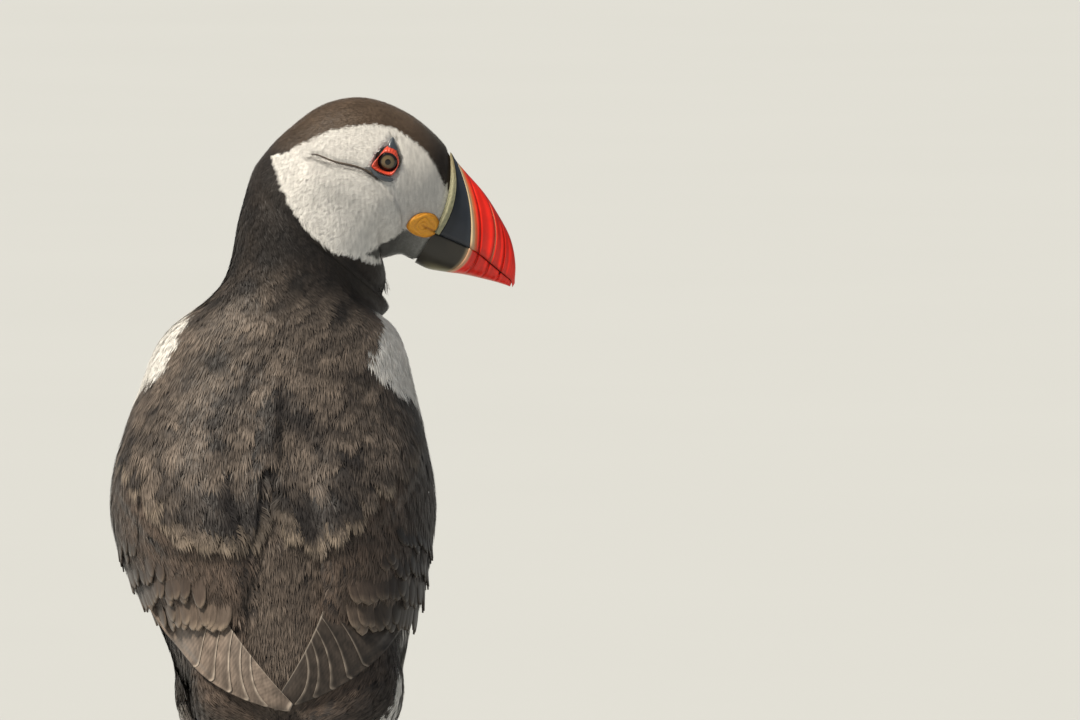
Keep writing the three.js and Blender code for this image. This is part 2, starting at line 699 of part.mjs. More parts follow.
show("trunk", trunk, "black", 0.85);
show("neck", neck, "black", 0.85);
show("head", head, "white", 0.85);
for (const [name, sense] of [["left", -1], ["right", 1]]) {
  const wing = arm(sense);
  show("wing_" + name, wing, "black", 0.75);
  const blade = hand(HAND[name]).subtract(arm(sense, 2 * GAP)).subtract(shell);
  show("primaries_" + name, largest(blade), "brown", 0.65);
}
show("tail", largest(tailSolid.subtract(shell)), "black", 0.7);
const billColours = {
  cere: "cream",
  bill_upper_plate: "slate",
  bill_upper_horn: "red",
  bill_lower_plate: "slate",
  bill_lower_horn: "red",
};
for (const [name, made] of Object.entries(billPieces)) show(name, made, billColours[name], 0.4);
for (const [name, made] of Object.entries(facePieces)) {
  const kind = Object.entries({ eye_rim: "rim", eye_plate: "slate", gape: "yellow", eye: "eye" });
  show(name, made, kind.find(([start]) => name.startsWith(start))[1], 0.35);
}
for (const [name, made] of Object.entries(legPieces)) {
  const kind = Object.entries({ thigh: "white", shank: "orange", foot: "orange", claw: "horn" });
  show(name, made, kind.find(([start]) => name.startsWith(start))[1], 0.6);
}

const box = new THREE.Box3().setFromObject(bird, true);
bird.position.set(-(box.min.x + box.max.x) / 2, -(box.min.y + box.max.y) / 2, -box.min.z);

export default bird;
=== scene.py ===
"""Looks for the Atlantic puffin: skin, plumage, flight feathers, bill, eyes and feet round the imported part.

All shapes are worked out in millimetres in the bird's own frame (x to its right, y ahead of its breast,
z up) from the same named sizes as the CAD part, and shifted into the row frame when a mesh is made.
"""

import math

import bpy
import numpy as np
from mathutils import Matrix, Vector, noise
from mathutils.bvhtree import BVHTree


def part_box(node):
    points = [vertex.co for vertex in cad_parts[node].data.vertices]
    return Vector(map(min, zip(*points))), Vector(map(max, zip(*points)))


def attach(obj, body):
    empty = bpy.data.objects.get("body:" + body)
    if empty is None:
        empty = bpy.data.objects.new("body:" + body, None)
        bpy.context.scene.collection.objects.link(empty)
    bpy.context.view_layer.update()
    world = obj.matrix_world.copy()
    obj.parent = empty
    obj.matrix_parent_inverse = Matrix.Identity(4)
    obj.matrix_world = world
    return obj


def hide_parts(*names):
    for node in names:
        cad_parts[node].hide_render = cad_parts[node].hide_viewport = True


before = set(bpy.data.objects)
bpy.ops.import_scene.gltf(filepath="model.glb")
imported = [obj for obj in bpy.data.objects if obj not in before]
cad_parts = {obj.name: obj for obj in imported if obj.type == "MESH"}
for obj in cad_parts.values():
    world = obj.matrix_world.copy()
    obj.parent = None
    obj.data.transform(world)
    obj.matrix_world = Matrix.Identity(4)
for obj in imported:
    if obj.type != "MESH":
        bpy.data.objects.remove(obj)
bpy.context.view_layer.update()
rng = np.random.default_rng(7)

# ---------------------------------------------------------------- named sizes, in millimetres
HEAD_AT = np.array([36.5, 8.0, 222.0])
PITCH = math.radians(20)
HEAD_F = np.array([math.cos(PITCH), 0, -math.sin(PITCH)])
HEAD_U = np.array([math.sin(PITCH), 0, math.cos(PITCH)])
HEAD_L = np.array([0.0, 1.0, 0.0])
RIGHTWARD = np.array([1.0, 0.0, 0.0])

# Each row: x, the back's y and z, the belly's y and z, half the width, squareness.
TRUNK = [
    [5, -53.5, 50, -49, 36, 10, 2],
    [5, -52.5, 58, -40, 31, 23, 2.1],
    [5.4, -50.5, 69, -20, 27.5, 30.5, 2.2],
    [5.5, -48, 84, 5, 30, 33.5, 2.25],
    [4, -44.5, 101, 32, 45, 39.4, 2.25],
    [0.2, -39, 119, 52, 71, 45.3, 2.2],
    [-0.5, -32, 137, 60, 104, 47.8, 2.2],
    [0.8, -23.5, 155, 56, 135, 42.8, 2.15],
    [2.4, -17, 171, 45, 158, 36.4, 2.1],
]
# Each row: x, y and z of the middle, the turn in degrees, half the depth, the back's rise, half the width.
NECK = [
    [8.4, 11.5, 175.2, 28, 26.4, 10.2, 24.6],
    [12.5, 10, 187.2, 62, 24.5, 15, 22.6],
]
# Each row, ahead and up from the middle of the head: the crown's, the throat's, half the width, bow.
CROWN = [
    [-39.4, -21, 13.2, -42, 21.8, 0],
    [-37.2, -11, 13.1, -38.6, 21.2, 0],
    [-32.8, -1.6, 12.2, -35.7, 20.6, 0],
    [-26, 8.3, 11, -33.7, 20, 0],
    [-17, 14.4, 9.9, -32.4, 19.4, 0],
    [-7.6, 16.3, 9.2, -31.5, 18.3, 0],
    [3, 15.2, 10.8, -30.2, 16, 0],
    [12, 12, 14.6, -27.9, 12.2, 1.5],
    [17.6, 8.8, 19.2, -28.5, 8, 3.8],
]
PEAR = {"body": 0.0, "head": 0.14}
NECK_SQUARE, HEAD_SQUARE = 2.05, 2.1

# Each row, ahead and up: the ridge's, the cutting edge's, bow, half the width.
UPPER = [
    [18.1, 8.4, 22.1, -17.1, 2.1, 7.9],
    [18.9, 8, 23.8, -17.3, 3.2, 7.7],
    [21.2, 6.2, 34.5, -18.1, 2, 6.7],
    [25.3, 3.9, 37.6, -18.7, 2.2, 5.8],
    [32.6, -0.1, 42.1, -20.3, 2.7, 4.6],
    [38.9, -4.8, 46.3, -21.9, 1.8, 3.5],
    [45.4, -10.7, 48.9, -22.9, 1.2, 2.6],
    [49.6, -17.4, 50.5, -23.7, 0.6, 1.8],
    [51.9, -24, 51.6, -25.5, 0, 0.8],
]
# Each row, ahead and up: the cutting edge's, the keel's, bow, half the width.
LOWER = [
    [22.2, -17.7, 19.8, -28.8, 0.1, 7.5],
    [25, -17.9, 24.2, -29.2, 0.4, 7.4],
    [34.2, -18.5, 30, -28.2, 1.4, 6.5],
    [37.5, -19.3, 35.5, -27, 0.9, 5.5],
    [41.9, -21, 40.8, -26.3, 0.5, 4.3],
    [46.1, -22.6, 45.4, -25.8, 0.3, 3.2],
    [49.3, -23.9, 49, -25.6, 0, 2],
    [50.9, -25, 50.8, -25.6, 0, 1],
]
CERE_EXTRA = 0.9
GROOVES = [3, 4, 5]

EYE = {"f": 0.0, "u": -0.1, "l": 13.0, "radius": 4.4}
EYE_HOLE = {"f": 0.25, "u": -0.55, "wide": 3.2, "high": 3.0}
ARM = {"from": 6.95, "to": [2.9, 4.3], "inner": 15, "outer": [118, 92], "thick": 4.2, "edge": 0.7}
ARM_CLEAR = 1.6
# The outer and the inner edge of each folded hand as x and z seen from behind, and how far it stands off.
HAND = {
    "left": {
        "outer": [[-40, 80], [-25, 55], [6, 50]], "inner": [[-20, 86], [-8, 68], [7, 52.5]], "lift": 2.9,
    },
    "right": {
        "outer": [[46, 80], [31, 57], [1, 50]], "inner": [[18, 86], [13, 70], [1.5, 53.5]], "lift": 0.5,
    },
}
TAIL = {"at": [5, -48.5, 51], "long": 43, "slope": 62, "root": 27, "end": 37, "arch": 5}
LEG = {"middle": 2.8, "apart": 19.5, "ankle": [0, -10, 27], "toes": [1, 0, 4.6], "splay": 9}
THIGH_TOP = [-1, 9, 56]
THIGH_RADII = [15, 16, 14.5, 11.5, 8, 4.6]
THIGH_STATIONS = [0, 0.22, 0.45, 0.68, 0.88, 1]
SHANK_RADIUS = 2.3
TOES = {"inner": (-26, 31), "middle": (0, 39), "outer": (24, 38)}  # angle in degrees and length
FOOT = {"heel": 5, "web": 1.3, "toeHigh": 3.6, "toeWide": 2.1, "scallop": 0.16}
CLAW = {"long": 6.2, "radius": 1.35, "drop": 1.9}

# Where the scapular lobes end on the back, as x and z seen from behind.
LOBES = np.array([
    (-60, 150), (-47, 119), (-41, 110), (-36.5, 104.5), (-30.7, 99), (-23.4, 98.2), (-17.6, 97),
    (-9.3, 97.5), (-5.4, 101), (-4, 106), (-3, 122), (2, 126), (2.6, 108), (5.8, 100.5), (10.5, 97.2),
    (16.2, 97), (21.8, 100), (28.5, 103.5), (33.6, 109), (39, 117), (47, 128), (60, 150),
])
LOBE_STEP = 2.0  # how far they stand over the coverts and the rump
FLANK = {"deep": 4.2, "angle": 82, "wide": 34}  # the right flank's loose feathers beside the tail

# Lines and outlines on the side of the head, as f and u.
CREASE = [(-23.4, -6.8), (-21.9, -6.1), (-15.6, -6.1), (-8.7, -5.2), (-3.9, -5.5), (-0.8, -6.7), (5.9, -10.1)]
CHEEK_FRONT = [(9.5, -13.5), (12.5, -19)]  # where the bulge of the cheek ends ahead of the crease
CHEEK_PATCH = [
    (-35, -9.7), (-32.1, -8.3), (-28.2, -4.8), (-23.9, 0.2), (-17.9, 4.4), (-11.5, 7.4), (-5.2, 9.5),
    (0.4, 10), (6, 8.7), (12.2, 5.8), (17.6, 1.3), (22, -3.6), (30, -8), (30, -40), (14.2, -27.9),
    (11, -30.2), (6.9, -31.2), (2.5, -31.1), (-3.2, -31.5), (-10.5, -30), (-15.6, -28.2), (-21.4, -23.5),
    (-26.4, -19.1), (-31.5, -13.5),
]
JAW_PATCH = [
    (3.5, -29.4), (9.7, -24.7), (13.6, -19.6), (18.3, -20.3), (23.5, -18.6), (24, -30), (14, -30),
]
EYE_ZONE = [
    (-4.9, -4.2), (-3.8, 0.8), (-2.6, 4.6), (-1.4, 8.6), (-0.2, 8.4), (1.6, 5.0), (3.8, 3.0), (4.4, -1.5),
    (4.3, -5.6), (1.5, -6.8), (-2.4, -6.4),
]
ROSETTE_ZONE = [
    (13.6, -18.0), (14.4, -14.4), (17.5, -12.3), (21.1, -12.6), (23.5, -15.9), (20.8, -18.9), (16.6, -19.4),
]
RING_OUTLINE = [
    (-4.1, -3.5), (-1.0, -4.5), (2.7, -4.3), (3.75, -1.8), (3.7, 1.0), (2.1, 3.6), (-0.3, 4.8), (-1.9, 3.6),
    (-2.9, 0.6),
]
UPPER_PLATE = [(-0.9, 7.4), (-1.5, 5.4), (-1.1, 3.6), (0.4, 3.5), (2.1, 4.1), (0.5, 5.8)]
LOWER_PLATE = [(-4.6, -3.9), (-1.0, -4.9), (3.4, -4.9), (3.6, -5.9), (0.8, -6.6), (-2.6, -5.9)]
ROSETTE = [
    (13.0, -18.2), (13.9, -14.2), (17.5, -11.8), (21.1, -12.1), (23.0, -15.6), (20.8, -19.2), (16.4, -19.9),
]
# Where the white of the breast and belly starts, in degrees from the spine, by the place on the body.
BORDER_PLACES = [0, 1.5, 3, 5, 6.7, 6.95, 7.15, 7.4, 7.7, 8.05, 8.6, 9.05, 9.4]
BORDER_LEFT = [124, 134, 130, 106, 96, 92, 76, 55, 52, 53, 62, 92, 200]
BORDER_RIGHT = [98, 86, 76, 88, 90, 72, 56, 41, 44, 54, 68, 92, 200]

# Places on the body's surface, which runs from 0 at the vent to 19 at the face.
ARM_TOP = 7.4
BREAST_TOP, FACE_FROM = 9.4, 10.4  # where the breast's white ends and the face's may start
NECK_COAT, HEAD_COAT = 8.8, 11.2  # where the pieces of the coat part
HEAD_START = 11.4
# The feathers that count as the wing's, by place, degrees from the spine and how far they are raised.
WING_COAT = {"places": (2.8, 6.9), "angles": (12, 118), "raised": 2.0}
BACK = {"top": 7.5, "angle": 80}  # the lobes' part of the back: up to this place and so far from the spine

BESIDE = 6  # how far from the head's middle plane its sides start
CHEEK = {"bulge": 1.5, "groove": 0.8, "wide": 0.8}  # the cheek, and the furrow over it
# How far a table of the body is averaged, in rows and columns.
BLUR = {"edge": (3, 1), "back": (14, 5), "shoulder": (60, 14), "thigh": (5, 3), "normals": (20, 8)}
# The skin's rings, degrees and voxels, and how deep the eyes' sockets and the thighs lie in it.
SKIN = {"rings": 330, "turn": 2.0, "voxel": 1.15, "socket": 2.5, "under_thigh": 1.2}

# The coat.
BODY_GAPS, THIGH_GAPS = (0.34, 0.24), (0.36, 0.27)  # across and down, by the feather's length
LOBE_CUT = {"root": 0.3, "tip": -1.2, "under": 9.5}  # the feathers that end or start at the lobes' edge
FAN = {
    "opening": 100,  # degrees to each side that the barbs fan out
    "stray": 5,  # degrees that a barb strays
    "lengths": (0.84, 1.08),
    "widths": (0.75, 1.25),
    "size": 9,  # the length of feather that the other sizes are given for
    "root": -1.2,  # how far under the surface a feather starts
    "ruffle": 0.05,  # how far whole feathers and single barbs stray off the surface
    "single": 0.03,
    "shades": 0.6,
}
TRIANGLES_PER_BARB = 3
MOST_BARBS = 190000 // TRIANGLES_PER_BARB
PATCH = 0.0015  # half of a tuft's patch on the unwrap
# The barbs of a feather and their half width, by the feather's length.
FAN_SIZES = (
    (0, 2.1, 5, 0.17), (2.1, 3.2, 7, 0.19), (3.2, 4.8, 11, 0.19), (4.8, 7, 15, 0.21), (7, 99, 23, 0.215),
)
PRIMARY_ENDS = [0.44, 0.56, 0.68, 0.79, 0.90, 1.0]  # where each tip reaches the hand's outer edge
PRIMARY_SLANT = 0.36  # how much sooner a feather ends on its inner edge
HAND_SUNK, HAND_OFF = 4.5, 0.5  # how far the hand starts below the coat, and ends off it
SHEET_STEP = {"level": 0.28, "thick": 0.3}  # between the primaries' tips, and through each
# How dark each hand's primaries are: the right hand is darkened as painted shade.
HAND_PAINTED_SHADE = {"left": 1.0, "right": 0.26}
# The coverts' brightness at the inner and at the outer edge of the wing, and where it fades; the right wing's
# darker values are painted shade.
COVERT_DIM_AND_SHADE = {"left": (1.0, 0.62, (0.35, 0.8)), "right": (0.9, 0.30, (0.05, 0.5))}
SCUTE_TURNS = 34
CAMERA = {"aim": (85.12, 0, 157.5), "distance": 3.84, "tilt": 4, "lens": 400, "sensor": 36, "clip": (0.1, 60)}

# ---------------------------------------------------------------- colours, as albedo


def rgb(*parts):
    return np.array(parts)


BLACK = rgb(0.017, 0.015, 0.015)
SOOT = rgb(0.031, 0.026, 0.024)
BROWN = rgb(0.092, 0.070, 0.056)
ASH = rgb(0.275, 0.218, 0.175)
FRINGE = rgb(0.270, 0.215, 0.165)
RUST = rgb(0.135, 0.098, 0.076)
SNOW = rgb(0.80, 0.78, 0.74)
JAW = rgb(0.20, 0.20, 0.19)
CAP = rgb(0.100, 0.068, 0.046)
TIP_BODY = rgb(0.165, 0.128, 0.103)
TIP_EDGE = rgb(0.42, 0.355, 0.295)
HORN_RED = rgb(0.92, 0.022, 0.009)
HORN_ORANGE = rgb(0.78, 0.20, 0.06)
HORN_CREAM = rgb(0.66, 0.50, 0.30)
HORN_DARK_SHADE = rgb(0.34, 0.030, 0.018)
SLATE = rgb(0.016, 0.020, 0.028)
SLATE_PALE = rgb(0.042, 0.056, 0.073)
SLATE_BROWN = rgb(0.030, 0.026, 0.019)
KEEL_OLIVE = rgb(0.30, 0.27, 0.14)
CERE = rgb(0.58, 0.53, 0.36)
CERE_TAN = rgb(0.46, 0.36, 0.20)
RING_RED = rgb(0.62, 0.065, 0.030)
ROSETTE_GOLD = rgb(0.74, 0.33, 0.018)
ROSETTE_DEEP = rgb(0.55, 0.20, 0.02)
PLATE_BLUE = rgb(0.055, 0.066, 0.080)
IRIS = rgb(0.17, 0.125, 0.065)
EYE_DARK_AND_LID_SHADE = rgb(0.010, 0.009, 0.008)
PUPIL = rgb(0.004, 0.004, 0.004)
EYE_BACK = rgb(0.02, 0.018, 0.016)
LEG_ORANGE = rgb(0.70, 0.115, 0.025)
LEG_DARK = rgb(0.42, 0.055, 0.015)
WEB_RED = rgb(0.62, 0.085, 0.022)
CLAW_BLACK = rgb(0.022, 0.018, 0.016)
FLOOR = (0.51, 0.53, 0.535)


# ---------------------------------------------------------------- curves and small helpers
def mix(a, b, t):
    return a + (b - a) * t


def tint(tone, colour, share):
    """Colours taken towards another one by each point's share."""
    return mix(tone, colour, np.asarray(share)[..., None])


def smooth(low, high, x):
    t = np.clip((np.asarray(x, float) - low) / (high - low), 0, 1)
    return t * t * (3 - 2 * t)


def between(x, low, high):
    return (x > low) & (x < high)


def band(x, at, width):
    """A soft peak of 1 at a value, about twice width across."""
    return np.exp(-(((x - at) / width) ** 2))


def along(rows, t):
    """The row at place t on a uniform Catmull-Rom curve through rows of numbers; t may be an array."""
    rows, t = np.asarray(rows, float), np.asarray(t, float)
    last = len(rows) - 1
    i = np.clip(np.floor(t).astype(int), 0, last - 1)
    s = (t - i)[..., None]
    a, b, c, d = (rows[np.clip(i + k, 0, last)] for k in (-1, 0, 1, 2))
    second = 2 * a - 5 * b + 4 * c - d
    third = 3 * b - a - 3 * c + d
    return b + 0.5 * ((c - a) * s + second * s * s + third * s**3)


def unit(v):
    return v / np.maximum(np.linalg.norm(v, axis=-1, keepdims=True), 1e-9)


def head_point(f, l, u):
    f, l, u = np.broadcast_arrays(*(np.asarray(x, float) for x in (f, l, u)))
    return HEAD_AT + f[..., None] * HEAD_F + l[..., None] * HEAD_L + u[..., None] * HEAD_U


def head_coords(points):
    away = points - HEAD_AT
    return away @ HEAD_F, away @ HEAD_L, away @ HEAD_U


def inside(polygon, x, y):
    """True where the points x, y lie in a polygon of pairs."""
    hit = np.zeros(np.shape(x), bool)
    pts = np.asarray(polygon, float)
    for (x0, y0), (x1, y1) in zip(pts, np.roll(pts, -1, 0)):
        crosses = (y0 > y) != (y1 > y)
        with np.errstate(divide="ignore", invalid="ignore"):
            at = x0 + (y - y0) / (y1 - y0) * (x1 - x0)
        hit ^= crosses & (x < at)
    return hit


def line_distance(line, x, y):
    """Distance of points x, y from a polyline of pairs."""
    best = np.full(np.shape(x), 1e9)
    pts = np.asarray(line, float)
    for (x0, y0), (x1, y1) in zip(pts[:-1], pts[1:]):
        dx, dy = x1 - x0, y1 - y0
        t = np.clip(((x - x0) * dx + (y - y0) * dy) / (dx * dx + dy * dy), 0, 1)
        best = np.minimum(best, np.hypot(x - x0 - t * dx, y - y0 - t * dy))
    return best


def cloud(points, size, seed):
    """Smooth noise from -1 to 1 at points, with features about size millimetres across."""
    offset = Vector((seed, 3 * seed, 7 * seed))
    flat = np.reshape(points, (-1, 3)) / size
    values = [noise.noise(Vector(p) + offset) for p in flat]
    return np.reshape(np.array(values) * 1.6, np.shape(points)[:-1])


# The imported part's shift from the bird's own frame into the row frame, read off the right eye.
eye_low, eye_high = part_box("eye_right")
SHIFT = np.array((eye_low + eye_high) / 2) * 1000 - head_point(EYE["f"], -EYE["l"], EYE["u"])


# ---------------------------------------------------------------- meshes
def link_object(name, data):
    placed = bpy.data.objects.new(name, data)
    bpy.context.scene.collection.objects.link(placed)
    return placed


def make_mesh(name, points, faces, material, tone, replaced=(), patch=None, normals=None):
    """A mesh piece from points in the own frame and lists of faces of equal length each.

    replaced names the CAD nodes it stands for. tone holds a colour, patch the OFBake place and normals the
    shading normal of every point.
    """
    mesh = bpy.data.meshes.new(name)
    points = (np.reshape(points, (-1, 3)) + SHIFT) * 0.001
    faces = [np.asarray(f, np.int32) for f in faces if len(f)]
    loops = np.concatenate([f.ravel() for f in faces])
    sizes = np.concatenate([np.full(len(f), f.shape[1], np.int32) for f in faces])
    mesh.vertices.add(len(points))
    mesh.vertices.foreach_set("co", points.astype(np.float32).ravel())
    mesh.loops.add(len(loops))
    mesh.loops.foreach_set("vertex_index", loops)
    mesh.polygons.add(len(sizes))
    starts = np.concatenate([[0], np.cumsum(sizes)[:-1]]).astype(np.int32)
    mesh.polygons.foreach_set("loop_start", starts)
    mesh.update(calc_edges=True)
    mesh.polygons.foreach_set("use_smooth", np.ones(len(sizes), bool))
    layer = mesh.color_attributes.new("tone", "FLOAT_COLOR", "POINT")
    rgba = np.ones((len(points), 4), np.float32)
    rgba[:, :3] = np.clip(np.reshape(tone, (-1, 3)), 0, 1)
    layer.data.foreach_set("color", rgba.ravel())
    if patch is not None:
        layer = mesh.uv_layers.new(name="OFBake")
        at = np.reshape(patch, (-1, 2))[loops].astype(np.float32)
        layer.data.foreach_set("uv", at.ravel())
    mesh.validate()
    if normals is not None:
        mesh.normals_split_custom_set_from_vertices(np.reshape(normals, (-1, 3)).astype(np.float32))
    mesh.materials.append(material)
    piece = link_object(name, mesh)
    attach(piece, "root")
    if replaced:
        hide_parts(*replaced)


def grid_faces(rows, columns, wrap=False, start=0):
    """Quads over a grid of rows x columns points, the columns closing round where wrap is set."""
    i, j = np.meshgrid(np.arange(rows - 1), np.arange(columns if wrap else columns - 1), indexing="ij")
    k = (j + 1) % columns
    quads = [i * columns + j, i * columns + k, (i + 1) * columns + k, (i + 1) * columns + j]
    return np.stack(quads, -1).reshape(-1, 4) + start


def closed_loft(rings):
    """Points and faces of a closed body over an array of rings, fanned shut at both ends."""
    rows, columns = rings.shape[:2]
    points = np.concatenate([rings.reshape(-1, 3), rings[:1].mean(1), rings[-1:].mean(1)])
    ring = np.arange(columns)
    after = (ring + 1) % columns
    first, last = rows * columns, rows * columns + 1
    low = np.stack([after, ring, np.full(columns, first)], -1)
    base = (rows - 1) * columns
    high = np.stack([base + ring, base + after, np.full(columns, last)], -1)
    return points, [grid_faces(rows, columns, wrap=True), np.concatenate([low, high])]


def loft_piece(name, rings, tone, material, replaced=()):
    """A piece over closed rings, whose tones are a grid like the rings."""
    points, faces = closed_loft(rings)
    tone = np.concatenate([tone.reshape(-1, 3), tone[0, :1], tone[-1, :1]])
    make_mesh(name, points, faces, material, tone, replaced)


def slab_faces(rows, columns, start=0):
    """Faces of a thin closed sheet: an outer and an inner side of rows x columns points, and its rim."""
    count = rows * columns
    outer = grid_faces(rows, columns, start=start)
    inner = grid_faces(rows, columns, start=start + count)[:, ::-1]
    index = np.arange(count).reshape(rows, columns) + start
    edge = np.concatenate([index[0], index[1:, -1], index[-1, -2::-1], index[-2:0:-1, 0]])
    after = np.roll(edge, -1)
    rim = np.stack([after, edge, edge + count, after + count], -1)
    return np.concatenate([outer, inner, rim])


def search_tree(points):
    """A tree over a grid of points, to find its nearest face or a ray's hit."""
    return BVHTree.FromPolygons(points.reshape(-1, 3).tolist(), grid_faces(*points.shape[:2]).tolist())


# ---------------------------------------------------------------- the body's surface as a table
def section_rows():
    """Rows of the back's and the belly's points, the way right, squareness, pear shape and bow."""
    rows = []
    for x, by, bz, fy, fz, half, square in TRUNK:
        rows.append([x, by, bz, x, fy, fz, half, 0, 0, square, PEAR["body"], 0])
    for x, y, z, turned, deep, rise, half in NECK:
        s, c = math.sin(math.radians(turned)), math.cos(math.radians(turned))
        back = [x - deep * s, y - deep * c, z + rise]
        belly = [x + deep * s, y + deep * c, z - rise]
        rows.append([*back, *belly, half * c, -half * s, 0, NECK_SQUARE, PEAR["body"], 0])
    for cf, cu, bf, bu, half, bow in CROWN:
        right = -HEAD_L * half
        back, belly = head_point(cf, 0, cu), head_point(bf, 0, bu)
        rows.append([*back, *belly, *right, HEAD_SQUARE, PEAR["head"], bow])
    return np.array(rows)


SECTIONS = section_rows()
LAST = len(SECTIONS) - 1


def body_surface(place, angle):
    """Points of the smooth body at places along it and angles in degrees round it from the spine."""
    row = along(SECTIONS, place)
    c, s = np.cos(np.radians(angle)), np.sin(np.radians(angle))
    back, belly, right = row[..., 0:3], row[..., 3:6], row[..., 6:9]
    power = 2 / row[..., 9]
    up = (back - belly) / 2
    right = right * (1 - row[..., 10] * c)[..., None]
    return (
        (back + belly) / 2
        + up * (np.sign(c) * np.abs(c) ** power)[..., None]
        + right * (np.sign(s) * np.abs(s) ** power)[..., None]
        + HEAD_F * (row[..., 11] * s * s)[..., None]
    )


def around(points):
    """The change from each column's neighbour to the other, where the last column repeats the first."""
    wide = np.concatenate([points[:, -2:-1], points, points[:, 1:2]], 1)
    return wide[:, 2:] - wide[:, :-2]


def blurred(table, rows, columns):
    """The table averaged over a window, three times, wrapping round the body."""
    for _ in range(3):
        for reach, mode in ((rows, "edge"), (columns, "wrap")):
            padded = np.pad(table, ((reach + 1, reach), (0, 0)), mode=mode)
            padded[0] = 0
            total = np.cumsum(padded, 0)
            width = 2 * reach + 1
            table = ((total[width:] - total[:-width]) / width).T
    return table


class Hide:
    """A surface tabled over a place along it and an angle round it, with what is raised on it."""

    def __init__(self, surface, low, high, step, turn=1.0):
        self.low, self.high, self.step, self.turn = low, high, step, turn
        self.places = np.arange(low, high + step / 2, step)
        self.angles = np.arange(-180, 180 + turn / 2, turn)
        place, angle = np.meshgrid(self.places, self.angles, indexing="ij")
        self.points = surface(place, angle)
        self.ahead = np.gradient(self.points, step, axis=0)
        self.round = around(self.points) / (2 * turn)
        self.normals = self.outward(self.points)
        self.raised = np.zeros(place.shape)
        self.place_grid, self.angle_grid = place, angle

    def read(self, table, place, angle):
        """The table's value between its entries."""
        r = np.clip((place - self.low) / self.step, 0, len(self.places) - 1.001)
        a = ((angle + 180) % 360) / self.turn
        i, j = r.astype(int), np.minimum(a.astype(int), len(self.angles) - 2)
        x, y = r - i, a - j
        if table.ndim == 3:
            x, y = x[..., None], y[..., None]
        return mix(mix(table[i, j], table[i, j + 1], y), mix(table[i + 1, j], table[i + 1, j + 1], y), x)

    def read_kept(self, table, place, angle):
        """The table's value, with the places kept within the surface."""
        return self.read(table, np.clip(place, self.low, self.high), angle)

    def outward(self, points):
        """Normals at a table of points, taken from all around where the rings crowd together."""
        ahead, turn = np.gradient(points, self.step, axis=0), around(points)
        cross = np.cross(turn, ahead)
        lengths = np.linalg.norm(turn, axis=-1) * np.linalg.norm(ahead, axis=-1)
        spread = np.linalg.norm(cross, axis=-1) / (lengths + 1e-9)
        calm = np.stack([blurred(cross[..., k], *BLUR["normals"]) for k in range(3)], -1)
        return unit(tint(unit(cross), unit(calm), smooth(0.8, 0.5, spread)))

    def shape_normals(self):
        """Tables the normals of the surface with all that is raised on it, for the coat's shading."""
        self.coat_normals = self.outward(self.points + self.normals * self.raised[..., None])

    def coat(self):
        """The table of the points of the surface with all that is raised on it."""
        return self.at(self.place_grid, self.angle_grid, self.raised)

    def at(self, place, angle, lift):
        """Points lifted off the surface; past its lowest place the surface runs straight on."""
        kept = np.clip(place, self.low, self.high)
        beyond = (place - kept)[..., None]
        points = self.read(self.points, kept, angle) + self.read(self.ahead, kept, angle) * beyond
        return points + unit(self.read(self.normals, kept, angle)) * np.asarray(lift)[..., None]

    def steps(self, place, angle, across, down):
        """The change in place and angle for a move across and down the lie of the coat, in millimetres."""
        ahead, turn = self.read(self.ahead, place, angle), self.read(self.round, place, angle)
        normal = unit(self.read(self.normals, place, angle))
        side = np.cross(normal, unit(-ahead))
        aa, ab, bb = (np.sum(p * q, -1) for p, q in ((ahead, ahead), (ahead, turn), (turn, turn)))
        det = np.maximum(aa * bb - ab * ab, 0.3 * aa * bb)
        along_side = np.sum(side * turn, -1)
        extra = (slice(None),) + (None,) * (across.ndim - 1)
        place_step = down * (-1 / np.sqrt(aa))[extra] + across * (-along_side * ab / det)[extra]
        angle_step = across * (along_side * aa / det)[extra]
        return np.clip(place_step, -1.3, 1.3), np.clip(angle_step, -25, 25)


body = Hide(body_surface, 0, LAST, 0.025)


def arm_span(p):
    """The middle and half the width, in degrees, of the folded arm at the share p down it."""
    end = 2 * p - 1
    narrow = np.where(end < 0, np.sqrt(1 - np.abs(end) ** 3), 1 - 0.2 * end**4)
    outer = mix(*ARM["outer"], p**1.5)
    return (ARM["inner"] + outer) / 2, (outer - ARM["inner"]) / 2 * np.maximum(narrow, 0.12)


def arm_share(place, angle):
    """Where a place and an angle lie on the folded arm: p down it and q from its inner to its outer edge."""
    q = np.full(np.shape(place), 0.5)
    for _ in range(8):
        end_place = mix(*ARM["to"], np.clip(q, 0, 1))
        p = (ARM["from"] - place) / (ARM["from"] - end_place)
        middle, half = arm_span(np.clip(p, 0, 1))
        q = ((angle - middle) / half + 1) / 2
    return p, q


def behind_back(place, angle):
    """True on the back, where the lobes lie."""
    return (np.abs(angle) < BACK["angle"]) & (place < BACK["top"])


def above_lobes(x, z):
    """How far over the lower edge of the lobes a point lies, seen from behind."""
    return z - np.interp(x, LOBES[:, 0], LOBES[:, 1])


def leg_point(side, place):
    x, y, z = place
    return np.array([LEG["middle"] + side * (LEG["apart"] + x), y, z], float)


def thigh_rise(points, normals):
    """How far the belly's coat stands out to run over the tops of the thighs."""
    rise = np.zeros(points.shape[:2])
    for side in (-1, 1):
        top = leg_point(side, THIGH_TOP)
        way = leg_point(side, LEG["ankle"]) - top
        for lift in np.linspace(0.5, 14, 28):
            spot = points + normals * lift - top
            share = np.clip(spot @ way / (way @ way), 0, 1)
            away = np.linalg.norm(spot - way * share[..., None], axis=-1)
            covered = (away < np.interp(share, THIGH_STATIONS, THIGH_RADII) + 1.2) & (share < 0.5)
            rise = np.where(covered, lift, rise)
    return blurred(rise, *BLUR["thigh"])


